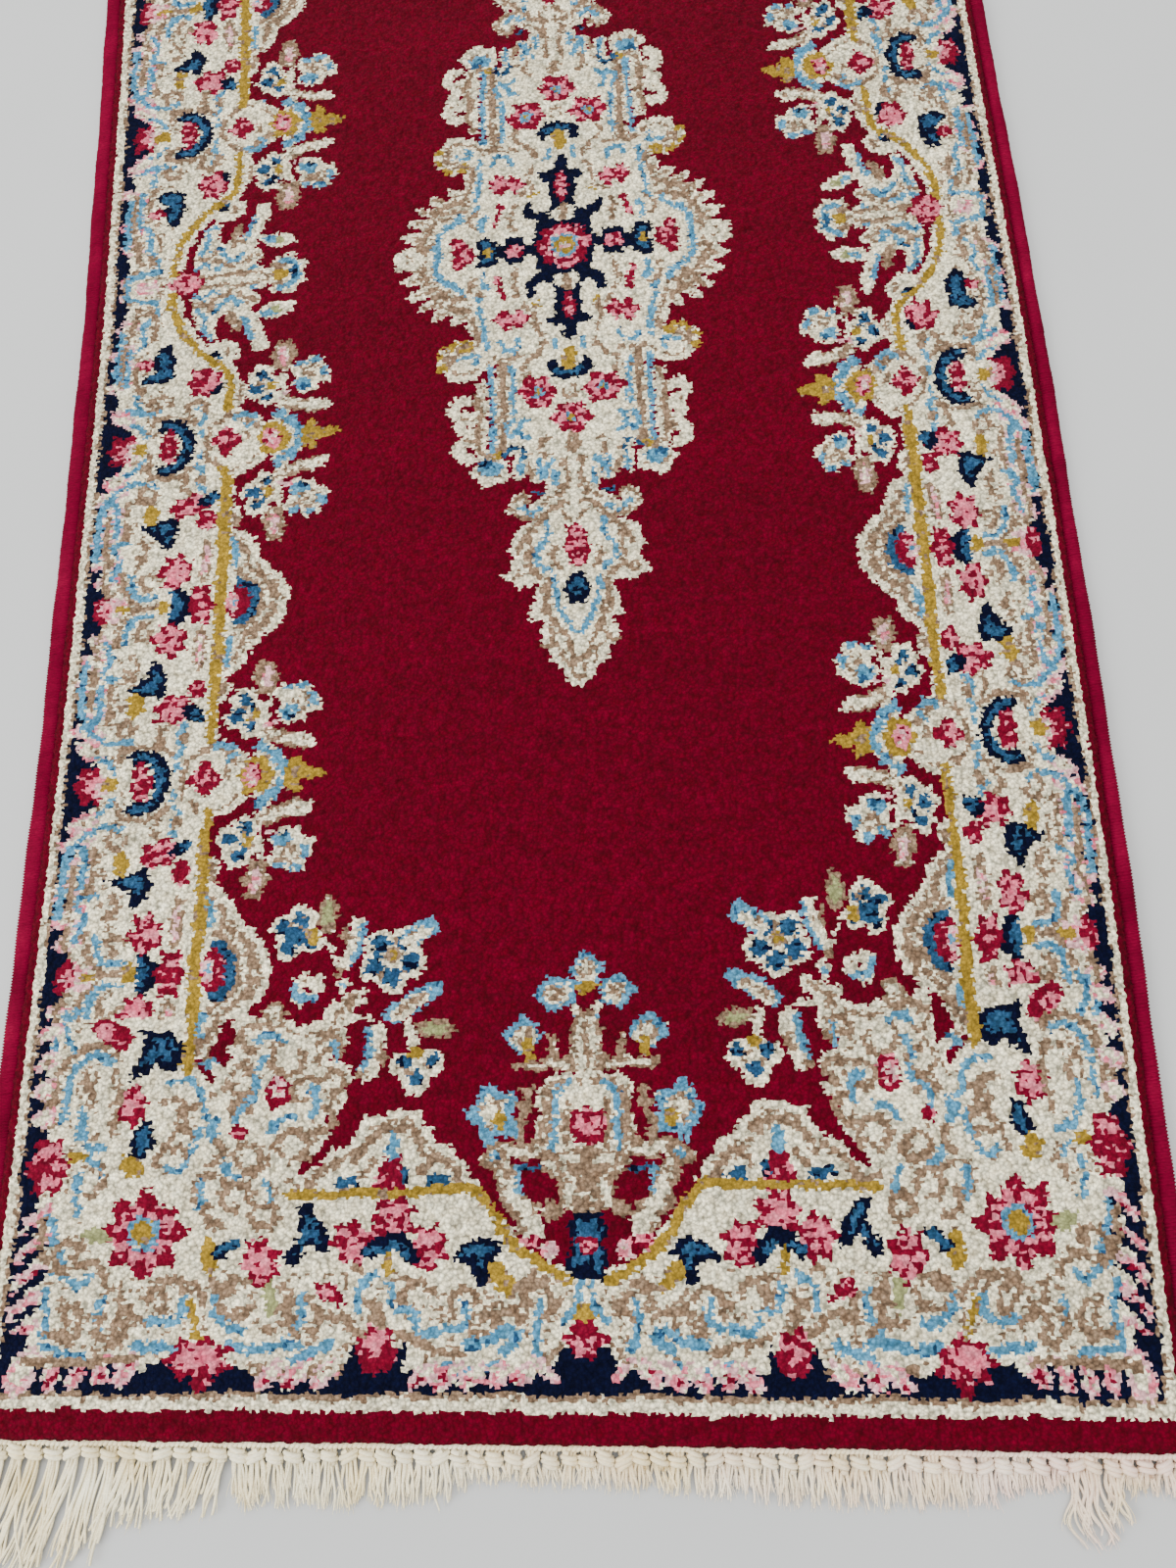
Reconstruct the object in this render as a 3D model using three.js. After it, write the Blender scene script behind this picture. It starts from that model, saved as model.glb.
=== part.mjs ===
// A small hand-knotted runner rug: a cotton ground weave, the wool pile knotted on it,
// two overcast long edges, and a knotted cotton fringe at both ends.
// Millimetres. X runs across the rug, Y along it, Z up. The underside rests on Z = 0.
// "Near" is the -Y end and "far" the +Y end; "left" is -X and "right" +X.
import * as THREE from 'three';

// ---- driving dimensions -------------------------------------------------------------
const HALF_WIDTH = 347; // middle line to the outside of an overcast edge
const HALF_LENGTH = 784; // middle to the last row of knots
const GROUND_THICKNESS = 3; // warps and wefts together
const PILE_TOP = 11; // height of the clipped wool above the floor
const EDGE_WIDTH = 12; // one overcast edge
const EDGE_HEIGHT = 8;
const WRAP_THICKNESS = 1.4; // the wool wound round an edge's core
const END_BAND = 14; // the plain row band at each end
const STRIPE = 9; // the pale guard stripe, both of its colours
const GUARD = 13; // the dark ground of the leaf guard
const CLEARANCE = 0.4; // between neighbouring solids
const TWINING = 3.2; // the twined cord that locks the last row
const KNOT_PITCH = 10; // from one fringe knot to the next
const KNOT_LENGTH = 11;
const KNOT_WIDTH = 9;
const TASSEL_TIP = 4.5; // width of a tassel at its tip
const FRINGE_LOW = 0.6; // the fringe lies a little clear of the floor
const FRINGE_HIGH = 4.2;
const LONGEST_FACE = 80; // a straight edge is divided at least this finely

// How a hand-knotted rug lies: the middle line of its design stands to the right of the
// rug's own, both long edges bow to the right, and the end rows drop towards the right.
const DRIFT = 18.4;
const BOW = 21.6;
const LEAN = 13.6;

// Fringe lengths, from the last row of knots to the tassels' tips: [x, length].
const NEAR_FRINGE = [
  [-345, 78], [-270, 74], [-245, 46], [-170, 34], [-90, 34], [-60, 20], [60, 24], [130, 29],
  [220, 27], [235, 20], [345, 20],
];
const FAR_FRINGE = [[-345, 36], [-200, 42], [-40, 34], [120, 44], [345, 38]];

// The edge between the light borders and the dark field, one quarter of it. The side run
// goes from mid length to the corner, and the end run from the corner to mid width.
const FIELD_SIDE = [
  [288, 0], [282, 45], [262, 85], [240, 112], [237, 185], [233, 225], [205, 240], [194, 262],
  [206, 286], [232, 300], [234, 380], [232, 470], [206, 486], [192, 512], [206, 545], [228, 570],
];
const FIELD_END = [
  [186, 560], [150, 600], [160, 640], [136, 620], [110, 606], [84, 622], [62, 648], [44, 672],
  [22, 694], [0, 698],
];

// One quarter of the medallion with its pendant, from mid length round to the tip.
const MEDALLION = [
  [121, 0], [106, 26], [100, 50], [78, 58], [92, 92], [70, 104], [82, 128], [82, 156], [66, 186],
  [48, 190], [44, 174], [24, 172], [12, 200], [40, 212], [32, 232], [52, 264], [30, 276],
  [24, 306], [0, 345],
];
const CROSS = [[62, 0], [34, 10], [16, 26], [12, 52], [0, 84]];

// ---- the yarns ----------------------------------------------------------------------
const yarn = (color, roughness) => new THREE.MeshStandardMaterial({ color, roughness, metalness: 0 });
const COTTON = yarn(0xd9cfb2, 0.95);
const CRIMSON = yarn(0x6d0a1e, 0.9);
const EDGE_CRIMSON = yarn(0x8f1033, 0.85);
const IVORY = yarn(0xd8cba2, 0.92);
const NAVY = yarn(0x10183a, 0.9);

// ---- outlines -----------------------------------------------------------------------
// Where a point of the square design lies on the real, slightly crooked rug.
function lay(x, y) {
  const across = x / HALF_WIDTH;
  const along = y / HALF_LENGTH;
  return [
    x + DRIFT * (1 - across * across) + BOW * (0.5 - along * along),
    y - LEAN * across * along * along,
  ];
}

// Divides a closed outline's long edges, so that they follow the bow.
function divided(outline) {
  const points = [];
  outline.forEach((start, i) => {
    const end = outline[(i + 1) % outline.length];
    const length = Math.hypot(end[0] - start[0], end[1] - start[1]);
    const parts = Math.max(1, Math.ceil(length / LONGEST_FACE));
    for (let k = 0; k < parts; k += 1) {
      const t = k / parts;
      points.push([start[0] + (end[0] - start[0]) * t, start[1] + (end[1] - start[1]) * t]);
    }
  });
  return points;
}

function signedArea(outline) {
  return outline.reduce((sum, [x, y], i) => {
    const [nextX, nextY] = outline[(i + 1) % outline.length];
    return sum + (x * nextY - nextX * y) / 2;
  }, 0);
}

// Moves a closed outline inwards by a distance, or outwards by a negative one.
function inset(outline, distance) {
  const inward = Math.sign(signedArea(outline)) * distance;
  const count = outline.length;
  return outline.map(([x, y], i) => {
    const before = outline[(i + count - 1) % count];
    const after = outline[(i + 1) % count];
    const first = new THREE.Vector2(x - before[0], y - before[1]).normalize();
    const second = new THREE.Vector2(after[0] - x, after[1] - y).normalize();
    const normal = new THREE.Vector2(-first.y - second.y, first.x + second.x).normalize();
    const reach = inward / Math.max(0.5, normal.dot(new THREE.Vector2(-first.y, first.x)));
    return [x + normal.x * reach, y + normal.y * reach];
  });
}

const rectangle = (x, y) => [[-x, -y], [x, -y], [x, y], [-x, y]];
const flippedX = (outline) => outline.map(([x, y]) => [-x, y]);
const flippedY = (outline) => outline.map(([x, y]) => [x, -y]);

// Mirrors a run of points, from the X axis to the Y axis, into a closed outline all round.
function allRound(quarter) {
  const half = [...quarter, ...flippedX(quarter).reverse().slice(1)];
  return [...half, ...flippedY(half).reverse().slice(1, -1)];
}

// ---- solids -------------------------------------------------------------------------
const rug = new THREE.Group();

function add(name, geometry, material) {
  const mesh = new THREE.Mesh(geometry, material);
  mesh.name = name;
  rug.add(mesh);
}

// A flat area of one thickness, kept clear of its neighbours, with any holes in it.
function addArea(name, material, outline, low, high, holes = []) {
  const placed = (points, gap) => inset(divided(points), gap)
    .map(([x, y]) => new THREE.Vector2(...lay(x, y)));
  const shape = new THREE.Shape(placed(outline, CLEARANCE / 2));
  shape.holes = holes.map((hole) => new THREE.Path(placed(hole, -CLEARANCE / 2)));
  const geometry = new THREE.ExtrudeGeometry(shape, { depth: high - low, bevelEnabled: false });
  geometry.translate(0, 0, low);
  add(name, geometry, material);
}

const addPile = (name, material, outline, holes) => {
  addArea(name, material, outline, GROUND_THICKNESS + CLEARANCE, PILE_TOP, holes);
};

// A cord of one section along the whole rug, its section standing on the floor.
function addEdgeCord(name, material, middleX, section) {
  const steps = Math.ceil((2 * HALF_LENGTH) / LONGEST_FACE);
  const geometry = new THREE.ExtrudeGeometry(section, {
    depth: 2 * HALF_LENGTH, steps, bevelEnabled: false,
  });
  geometry.rotateX(Math.PI / 2);
  geometry.translate(middleX, HALF_LENGTH, 0);
  const place = geometry.getAttribute('position');
  for (let i = 0; i < place.count; i += 1) {
    const [x, y] = lay(place.getX(i), place.getY(i));
    place.setXY(i, x, y);
  }
  add(name, geometry, material);
}

// A stadium lying flat: straight top and bottom, round sides.
function stadium(width, height, lift) {
  const radius = height / 2;
  const straight = width / 2 - radius;
  const shape = new THREE.Shape();
  shape.moveTo(-straight, lift);
  shape.lineTo(straight, lift);
  shape.absarc(straight, lift + radius, radius, -Math.PI / 2, Math.PI / 2);
  shape.lineTo(-straight, lift + height);
  shape.absarc(-straight, lift + radius, radius, Math.PI / 2, 1.5 * Math.PI);
  return shape.extractPoints(4).shape.slice(0, -1);
}

// ---- ground weave and overcast edges -------------------------------------------------
const weaveHalfWidth = HALF_WIDTH - EDGE_WIDTH;
addArea('ground_weave', COTTON, rectangle(weaveHalfWidth, HALF_LENGTH), 0, GROUND_THICKNESS);

for (const [side, sign] of [['left', -1], ['right', 1]]) {
  const middle = sign * (HALF_WIDTH - EDGE_WIDTH / 2);
  const hollow = stadium(
    EDGE_WIDTH - CLEARANCE - 2 * WRAP_THICKNESS,
    EDGE_HEIGHT - 2 * WRAP_THICKNESS,
    WRAP_THICKNESS,
  );
  const wrap = new THREE.Shape(stadium(EDGE_WIDTH - CLEARANCE, EDGE_HEIGHT, 0));
  wrap.holes.push(new THREE.Path(hollow));
  addEdgeCord(`edge_wrap_${side}`, EDGE_CRIMSON, middle, wrap);
  const core = new THREE.Shape(stadium(
    EDGE_WIDTH - 3 * CLEARANCE - 2 * WRAP_THICKNESS,
    EDGE_HEIGHT - 2 * CLEARANCE - 2 * WRAP_THICKNESS,
    WRAP_THICKNESS + CLEARANCE,
  ));
  addEdgeCord(`edge_core_${side}`, COTTON, middle, core);
}

// ---- pile, area by area ---------------------------------------------------------------
const stripeX = weaveHalfWidth;
const stripeY = HALF_LENGTH - END_BAND;
const guardX = stripeX - STRIPE;
const guardY = stripeY - STRIPE;
const borderX = guardX - GUARD;
const borderY = guardY - GUARD;
const cornerPoint = FIELD_SIDE[FIELD_SIDE.length - 1];

for (const [end, flip] of [['near', flippedY], ['far', (outline) => outline]]) {
  addPile(`pile_end_band_${end}`, CRIMSON, flip([
    [-stripeX, stripeY], [stripeX, stripeY], [stripeX, HALF_LENGTH], [-stripeX, HALF_LENGTH],
  ]));
  addPile(`pile_border_${end}`, IVORY, flip([
    [-borderX, borderY], ...flippedX([cornerPoint, ...FIELD_END]),
    ...[cornerPoint, ...FIELD_END].reverse().slice(1), [borderX, borderY],
  ]));
}
for (const [side, flip] of [['left', flippedX], ['right', (outline) => outline]]) {
  addPile(`pile_border_${side}`, IVORY, flip([
    [borderX, -borderY], [borderX, borderY], ...[...FIELD_SIDE].reverse(),
    ...flippedY(FIELD_SIDE).slice(1),
  ]));
}
addPile('pile_guard_stripe', IVORY, rectangle(stripeX, stripeY), [rectangle(guardX, guardY)]);
addPile('pile_guard_ground', NAVY, rectangle(guardX, guardY), [rectangle(borderX, borderY)]);

const medallion = allRound(MEDALLION);
const cross = allRound(CROSS);
addPile('pile_field', CRIMSON, allRound([...FIELD_SIDE, ...FIELD_END]), [medallion]);
addPile('pile_medallion', IVORY, medallion, [cross]);
addPile('pile_medallion_cross', NAVY, cross);

// ---- the finished ends ----------------------------------------------------------------
function lengthAt(x, lengths) {
  const next = lengths.findIndex(([place]) => place >= x);
  const [x0, length0] = lengths[Math.max(0, next - 1)];
  const [x1, length1] = lengths[next];
  return x1 === x0 ? length1 : length0 + ((length1 - length0) * (x - x0)) / (x1 - x0);
}

const twiningEnd = HALF_LENGTH + TWINING;
const knotCount = Math.floor((2 * weaveHalfWidth) / KNOT_PITCH);
const firstKnot = (-(knotCount - 1) * KNOT_PITCH) / 2;

// One comb from the twining outwards: knots side by side, and a tassel below each.
function fringeOutline(lengths) {
  const root = KNOT_LENGTH / 4;
  const outline = [[weaveHalfWidth, twiningEnd], [-weaveHalfWidth, twiningEnd]];
  for (let i = 0; i < knotCount; i += 1) {
    const x = firstKnot + i * KNOT_PITCH;
    const tip = HALF_LENGTH + lengthAt(x, lengths);
    outline.push(
      [x - KNOT_PITCH / 2, twiningEnd + root],
      [x - KNOT_WIDTH / 2, twiningEnd + KNOT_LENGTH / 2],
      [x - KNOT_WIDTH / 3, twiningEnd + KNOT_LENGTH],
      [x - TASSEL_TIP / 2, Math.max(tip, twiningEnd + KNOT_LENGTH + 1)],
      [x + TASSEL_TIP / 2, Math.max(tip, twiningEnd + KNOT_LENGTH + 1)],
      [x + KNOT_WIDTH / 3, twiningEnd + KNOT_LENGTH],
      [x + KNOT_WIDTH / 2, twiningEnd + KNOT_LENGTH / 2],
    );
  }
  outline.push([weaveHalfWidth, twiningEnd + root]);
  return outline;
}

for (const [end, flip, lengths] of [
  ['near', flippedY, NEAR_FRINGE],
  ['far', (outline) => outline, FAR_FRINGE],
]) {
  addArea(`end_twining_${end}`, COTTON, flip([
    [-weaveHalfWidth, HALF_LENGTH], [weaveHalfWidth, HALF_LENGTH],
    [weaveHalfWidth, twiningEnd], [-weaveHalfWidth, twiningEnd],
  ]), FRINGE_LOW, FRINGE_LOW + TWINING);
  addArea(`fringe_${end}`, COTTON, flip(fringeOutline(lengths)), FRINGE_LOW, FRINGE_HIGH);
}

// ---- origin: the middle of the rug's box, on the floor ---------------------------------
const middle = new THREE.Box3().setFromObject(rug).getCenter(new THREE.Vector3());
rug.position.set(-middle.x, -middle.y, 0);

export default rug;
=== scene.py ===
"""A small hand-knotted runner rug, lying on a plain floor.

The design is drawn with strokes, leaves, spots and outlines on a chart of one quarter of the rug,
in centimetres from the middle of the medallion: x outwards to a long edge, y outwards to an end.
Every knot takes its yarn from the chart, mirrored and a little disturbed as hand knotting does,
and the knots are laid over the CAD frame.
"""
import math

import bpy
import numpy as np
from mathutils import Matrix, Vector


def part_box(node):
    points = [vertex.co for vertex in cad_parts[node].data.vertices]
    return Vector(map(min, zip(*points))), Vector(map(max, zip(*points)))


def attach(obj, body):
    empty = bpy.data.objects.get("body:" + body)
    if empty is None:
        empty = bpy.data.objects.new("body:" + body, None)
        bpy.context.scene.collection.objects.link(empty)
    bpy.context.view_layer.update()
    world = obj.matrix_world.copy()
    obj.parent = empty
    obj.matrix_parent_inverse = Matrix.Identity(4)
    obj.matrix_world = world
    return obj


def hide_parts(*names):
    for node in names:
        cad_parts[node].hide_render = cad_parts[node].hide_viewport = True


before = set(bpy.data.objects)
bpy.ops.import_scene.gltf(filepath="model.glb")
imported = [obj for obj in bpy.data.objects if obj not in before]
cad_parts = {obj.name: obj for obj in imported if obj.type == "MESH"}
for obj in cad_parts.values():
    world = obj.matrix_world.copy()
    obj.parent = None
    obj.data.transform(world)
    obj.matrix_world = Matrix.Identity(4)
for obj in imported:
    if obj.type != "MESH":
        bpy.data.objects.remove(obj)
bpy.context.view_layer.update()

chance = np.random.default_rng(7)

# ---- the rug's own sizes, as in the CAD -------------------------------------------------
MM = 0.001
CM = 0.01
HALF_WIDTH = 347 * MM  # middle line to the outside of an overcast edge
HALF_LENGTH = 784 * MM  # middle to the last row of knots
DRIFT = 18.4 * MM  # the design's middle line stands this far right of the rug's
BOW = 21.6 * MM  # both long edges bow to the right by this much
LEAN = 13.6 * MM  # an end row drops this much from its middle to its right edge
weave_low, weave_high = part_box("ground_weave")
GROUND_TOP = weave_high[2]
PILE_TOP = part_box("pile_field")[1][2]
EDGE_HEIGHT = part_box("edge_wrap_left")[1][2]
EDGE_WIDTH = 12 * MM
KNOT = 2.0 * MM  # across the rug
ROW = 1.6 * MM  # along the rug
COLUMNS = 167  # knots from the middle to an overcast edge
ROWS = 490  # knots from the middle to an end
SIDE = COLUMNS * KNOT
END = ROWS * ROW


# ---- how the rug lies -------------------------------------------------------------------
def bent(x, y):
    """Where a point of the square design lies on the real, slightly crooked rug."""
    across = x / HALF_WIDTH
    along = y / HALF_LENGTH
    return (
        x + DRIFT * (1 - across**2) + BOW * (0.5 - along**2),
        y - LEAN * across * along**2,
    )


def weave_middle():
    """The middle of the bent ground weave's box, before the rug is centred."""
    half = HALF_WIDTH - EDGE_WIDTH
    along = np.linspace(-HALF_LENGTH, HALF_LENGTH, 201)
    edges = [bent(side * half, along) for side in (-1, 1)]
    xs = np.concatenate([e[0] for e in edges])
    ys = np.concatenate([e[1] for e in edges])
    return (xs.min() + xs.max()) / 2, (ys.min() + ys.max()) / 2


MIDDLE_X, MIDDLE_Y = weave_middle()
SHIFT_X = (weave_low[0] + weave_high[0]) / 2 - MIDDLE_X
SHIFT_Y = (weave_low[1] + weave_high[1]) / 2 - MIDDLE_Y


SWELL = 1.3 * MM  # half the height of the broad waves
RIPPLE = 0.5 * MM  # half the height of the short waves, strongest along the edges


def lift(x, y):
    """How far the rug stands off the floor, where it has not quite flattened."""
    swell = np.sin(5.1 * x + 3.4 * y + 0.7) * np.sin(4.3 * y - 2.2 * x)
    ripple = np.sin(19 * y + 6 * x + 1.3) * (np.abs(x) / HALF_WIDTH) ** 3
    return SWELL * (1 + swell) + RIPPLE * (1 + ripple)


def laid(x, y, z):
    """Design coordinates to places on the floor, as an array of points."""
    x, y, z = np.broadcast_arrays(x, y, z)
    bx, by = bent(x, y)
    return np.stack([bx + SHIFT_X, by + SHIFT_Y, z + lift(x, y)], axis=-1)


# ---- mesh making ------------------------------------------------------------------------
def mesh_piece(name, points, quads, material):
    """One object on the rug's only body, from arrays of points and four-cornered faces."""
    mesh = bpy.data.meshes.new(name)
    mesh.vertices.add(len(points))
    mesh.vertices.foreach_set("co", np.asarray(points, dtype=np.float32).ravel())
    mesh.loops.add(4 * len(quads))
    mesh.loops.foreach_set("vertex_index", np.asarray(quads, dtype=np.int32).ravel())
    mesh.polygons.add(len(quads))
    mesh.polygons.foreach_set("loop_start", np.arange(0, 4 * len(quads), 4, dtype=np.int32))
    mesh.polygons.foreach_set("use_smooth", np.ones(len(quads), dtype=bool))
    mesh.update(calc_edges=True)
    mesh.validate()
    mesh.materials.append(material)
    piece = bpy.data.objects.new(name, mesh)
    bpy.context.scene.collection.objects.link(piece)
    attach(piece, "root")
    return piece


def grid_quads(rows, columns, wrap=False):
    """Faces of a grid of points; with wrap, the last column joins the first."""
    row = np.arange(rows - 1)[:, None] * columns
    column = np.arange(columns if wrap else columns - 1)[None, :]
    after = (column + 1) % columns
    corners = [row + column, row + after, row + columns + after, row + columns + column]
    return np.stack(corners, axis=-1).reshape(-1, 4)


def rim_of(index):
    """The numbers on the outside of a grid, once round from its first corner."""
    return np.concatenate([index[0], index[1:, -1], index[-1, -2::-1], index[-2:0:-1, 0]])


def tubes(paths, radii, sides):
    """Points and faces of many tubes at once. paths is tubes x steps x 3, radii tubes x steps."""
    count, steps, _ = paths.shape
    ahead = np.gradient(paths, axis=1)
    ahead /= np.linalg.norm(ahead, axis=-1, keepdims=True) + 1e-12
    up = np.zeros_like(ahead)
    up[..., 2] = 1
    sideways = np.cross(ahead, up)
    sideways += np.array([1e-6, 0, 0])
    sideways /= np.linalg.norm(sideways, axis=-1, keepdims=True)
    normal = np.cross(sideways, ahead)
    turn = np.linspace(0, 2 * math.pi, sides, endpoint=False)
    ring = (
        np.cos(turn)[:, None] * sideways[:, :, None, :]
        + np.sin(turn)[:, None] * normal[:, :, None, :]
    )
    points = paths[:, :, None, :] + radii[:, :, None, None] * ring
    one = grid_quads(steps, sides, wrap=True)
    quads = one[None, :, :] + (np.arange(count) * steps * sides)[:, None, None]
    return points.reshape(-1, 3), quads.reshape(-1, 4)


# ---- the yarns --------------------------------------------------------------------------
YARNS = [
    # name, colour, second shade, slot, how much it varies
    # the last column also sets how deep the pile's painted shade is, in the gaps between knots and on
    # clumps
    ("crimson", (75, 0, 14), (86, 0, 23), "crimson_wool", 0.8),
    ("ivory", (244, 236, 204), (226, 212, 176), "ivory_wool", 1.2),
    ("tan", (120, 94, 72), (142, 118, 95), "ivory_wool", 1.1),
    ("navy", (3, 5, 26), (5, 9, 34), "navy_wool", 0.9),
    ("blue", (43, 80, 109), (29, 59, 91), "navy_wool", 1.0),
    ("sky", (88, 142, 168), (62, 120, 154), "navy_wool", 1.0),
    ("gold", (150, 120, 38), (132, 106, 36), "ivory_wool", 0.9),
    ("pink", (200, 84, 106), (208, 124, 134), "crimson_wool", 0.9),
    ("ruby", (96, 4, 26), (108, 9, 36), "crimson_wool", 0.8),
    ("blush", (214, 172, 168), (208, 148, 154), "ivory_wool", 0.9),
    ("moss", (141, 142, 97), (129, 132, 86), "ivory_wool", 0.8),
]
CRIMSON, IVORY, TAN, NAVY, BLUE, SKY, GOLD, PINK, RUBY, BLUSH, MOSS = range(len(YARNS))

# ---- drawing on the chart of one quarter, in centimetres --------------------------------
CELL_X = 0.1  # half a knot
CELL_Y = 0.08  # half a row
CHART_COLUMNS = 336
CHART_ROWS = 981
CHART_X = (np.arange(CHART_COLUMNS) + 0.5) * CELL_X
CHART_Y = (np.arange(CHART_ROWS) + 0.5) * CELL_Y
REPEAT = 25.3  # the side border's pattern, from a palmette to the next
PALMETTES = (13.9, 39.2, 64.5)
CARTOUCHES = (26.55, 51.85)  # half-way between palmettes
chart = np.full((len(CHART_Y), len(CHART_X)), IVORY)
WHOLE_QUARTER = (0.0, 1, 0.0, 79.0)  # start, direction, and the stretch that may be drawn on
now_at = [WHOLE_QUARTER]


def paint(color, low_x, high_x, low_y, high_y, inside):
    """Colours the cells of a window where inside(x, y) holds, in the current repeat."""
    start, turn, first, last = now_at[0]
    near, far = sorted((start + turn * low_y, start + turn * high_y))
    near = max(near, first)
    far = min(far, last)
    if far <= near:
        return
    rows = slice(int(near / CELL_Y), int(far / CELL_Y) + 1)
    columns = slice(max(0, int(low_x / CELL_X)), max(0, int(high_x / CELL_X) + 1))
    x, y = np.meshgrid(CHART_X[columns], (CHART_Y[rows] - start) * turn)
    if x.size:
        chart[rows, columns][inside(x, y)] = color


def spot(color, x, y, wide, high=None, tilt=0, petals=0, depth=0.15, turn=0.0):
    """An ellipse, or a scalloped one when it has petals."""
    high = high or wide
    reach = max(wide, high) * (1 + depth)
    c = math.cos(math.radians(tilt))
    s = math.sin(math.radians(tilt))

    def inside(px, py):
        u = ((px - x) * c + (py - y) * s) / wide
        v = ((py - y) * c - (px - x) * s) / high
        edge = 1.0
        if petals:
            edge = 1 + depth * np.cos(petals * (np.arctan2(v, u) - turn))
        return np.hypot(u, v) < edge

    paint(color, x - reach, x + reach, y - reach, y + reach, inside)


def curve(points, steps=7):
    """A smooth run through a few points."""
    p = np.array([points[0], *points, points[-1]], dtype=float)
    t = np.linspace(0, 1, steps, endpoint=False)[:, None]
    parts = []
    for a, b, c, d in zip(p, p[1:], p[2:], p[3:]):
        parts.append(0.5 * (2 * b + (c - a) * t + (2 * a - 5 * b + 4 * c - d) * t**2
                            + (3 * b - a - 3 * c + d) * t**3))
    parts.append(p[-1:])
    return np.concatenate(parts)


def line(color, width, *points, smooth=True):
    """A stroke of even width through a few points."""
    run = curve(points) if smooth and len(points) > 2 else np.array(points, dtype=float)
    half = width / 2
    low = run.min(axis=0) - half
    high = run.max(axis=0) + half

    def inside(px, py):
        hit = np.zeros(px.shape, dtype=bool)
        for (ax, ay), (bx, by) in zip(run, run[1:]):
            size = (bx - ax) ** 2 + (by - ay) ** 2 + 1e-9
            t = np.clip(((px - ax) * (bx - ax) + (py - ay) * (by - ay)) / size, 0, 1)
            hit |= (px - ax - t * (bx - ax)) ** 2 + (py - ay - t * (by - ay)) ** 2 < half**2
        return hit

    paint(color, low[0], high[0], low[1], high[1], inside)


def leaf(color, x0, y0, x1, y1, width):
    """A leaf, pointed at both ends."""
    length = math.hypot(x1 - x0, y1 - y0)
    ux, uy = (x1 - x0) / length, (y1 - y0) / length

    def inside(px, py):
        t = ((px - x0) * ux + (py - y0) * uy) / length
        off = np.abs((py - y0) * ux - (px - x0) * uy)
        return (t > 0) & (t < 1) & (off < width / 2 * np.sqrt(np.clip(4 * t * (1 - t), 0, 1)))

    paint(color, min(x0, x1) - width, max(x0, x1) + width,
          min(y0, y1) - width, max(y0, y1) + width, inside)


def area(color, *points, smooth=False):
    """A filled outline."""
    run = curve([*points, points[0]]) if smooth else np.array(points, dtype=float)
    low = run.min(axis=0)
    high = run.max(axis=0)

    def inside(px, py):
        odd = np.zeros(px.shape, dtype=bool)
        for (ax, ay), (bx, by) in zip(run, np.roll(run, -1, axis=0)):
            crosses = (ay > py) != (by > py)
            if crosses.any():
                odd ^= crosses & (px < (bx - ax) * (py - ay) / (by - ay + 1e-12) + ax)
        return odd

    paint(color, low[0], high[0], low[1], high[1], inside)


def rose(x, y, wide, high=None, tilt=0, petals=7):
    """A ruby flower whose petals are pink inside."""
    high = high or wide
    spot(RUBY, x, y, wide, high, tilt, petals, 0.16)
    c, s = math.cos(math.radians(tilt)), math.sin(math.radians(tilt))
    for k in range(5):
        a = 2 * math.pi * (k + 0.25) / 5
        u, v = 0.52 * wide * math.cos(a), 0.52 * high * math.sin(a)
        spot(PINK, x + u * c - v * s, y + u * s + v * c, 0.36 * wide, 0.32 * high)
    spot(PINK, x, y, 0.25 * wide, 0.25 * high)


def rosette(x, y, size, core):
    """A round ruby flower with pink between its petals and a core of two colours."""
    spot(RUBY, x, y, size, size, 0, 8, 0.16)
    for k in range(8):
        a = 2 * math.pi * (k + 0.5) / 8
        spot(PINK, x + 0.62 * size * math.cos(a), y + 0.62 * size * math.sin(a), 0.2 * size)
    spot(SKY, x, y, core)
    spot(GOLD, x, y, core * 0.6, core * 0.75)


def bloom(x, y, size, lobes=5, turn=0.0, fill=BLUE, gold=True, span=360):
    """A pale flower of round lobes, each blue inside, on a gold eye."""
    angles = [math.radians(turn + span * k / (lobes if span == 360 else lobes - 1))
              for k in range(lobes)]
    for a in angles:
        spot(IVORY, x + 0.58 * size * math.cos(a), y + 0.58 * size * math.sin(a), 0.5 * size)
    for a in angles:
        spot(fill, x + 0.6 * size * math.cos(a), y + 0.6 * size * math.sin(a), 0.3 * size)
    if gold:
        spot(GOLD, x, y, 0.27 * size)


def two_tone_leaf(x0, y0, x1, y1, width, edge=TAN, middle=IVORY):
    """A leaf with a narrower leaf of another yarn inside it."""
    leaf(edge, x0, y0, x1, y1, width)
    leaf(middle, x0 * 0.85 + x1 * 0.15, y0 * 0.85 + y1 * 0.15,
         x0 * 0.2 + x1 * 0.8, y0 * 0.2 + y1 * 0.8, width * 0.55)


def dotted(color, size, gap, *points):
    """A stem of separate knots."""
    run = curve(points, 12)
    walked = np.concatenate([[0], np.cumsum(np.hypot(*np.diff(run, axis=0).T))])
    for at in np.arange(0, walked[-1], gap):
        px = np.interp(at, walked, run[:, 0])
        py = np.interp(at, walked, run[:, 1])
        spot(color, px, py, size)


def scroll(color, width, x, y, size, start, sweep, tighten=0.5):
    """A curl that winds in from its outer end; angles in degrees."""
    steps = max(4, int(abs(sweep) / 30))
    points = []
    for k in range(steps + 1):
        a = math.radians(start + sweep * k / steps)
        r = size * (1 - tighten * k / steps)
        points.append((x + r * math.cos(a), y + r * math.sin(a)))
    line(color, width, *points)


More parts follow.
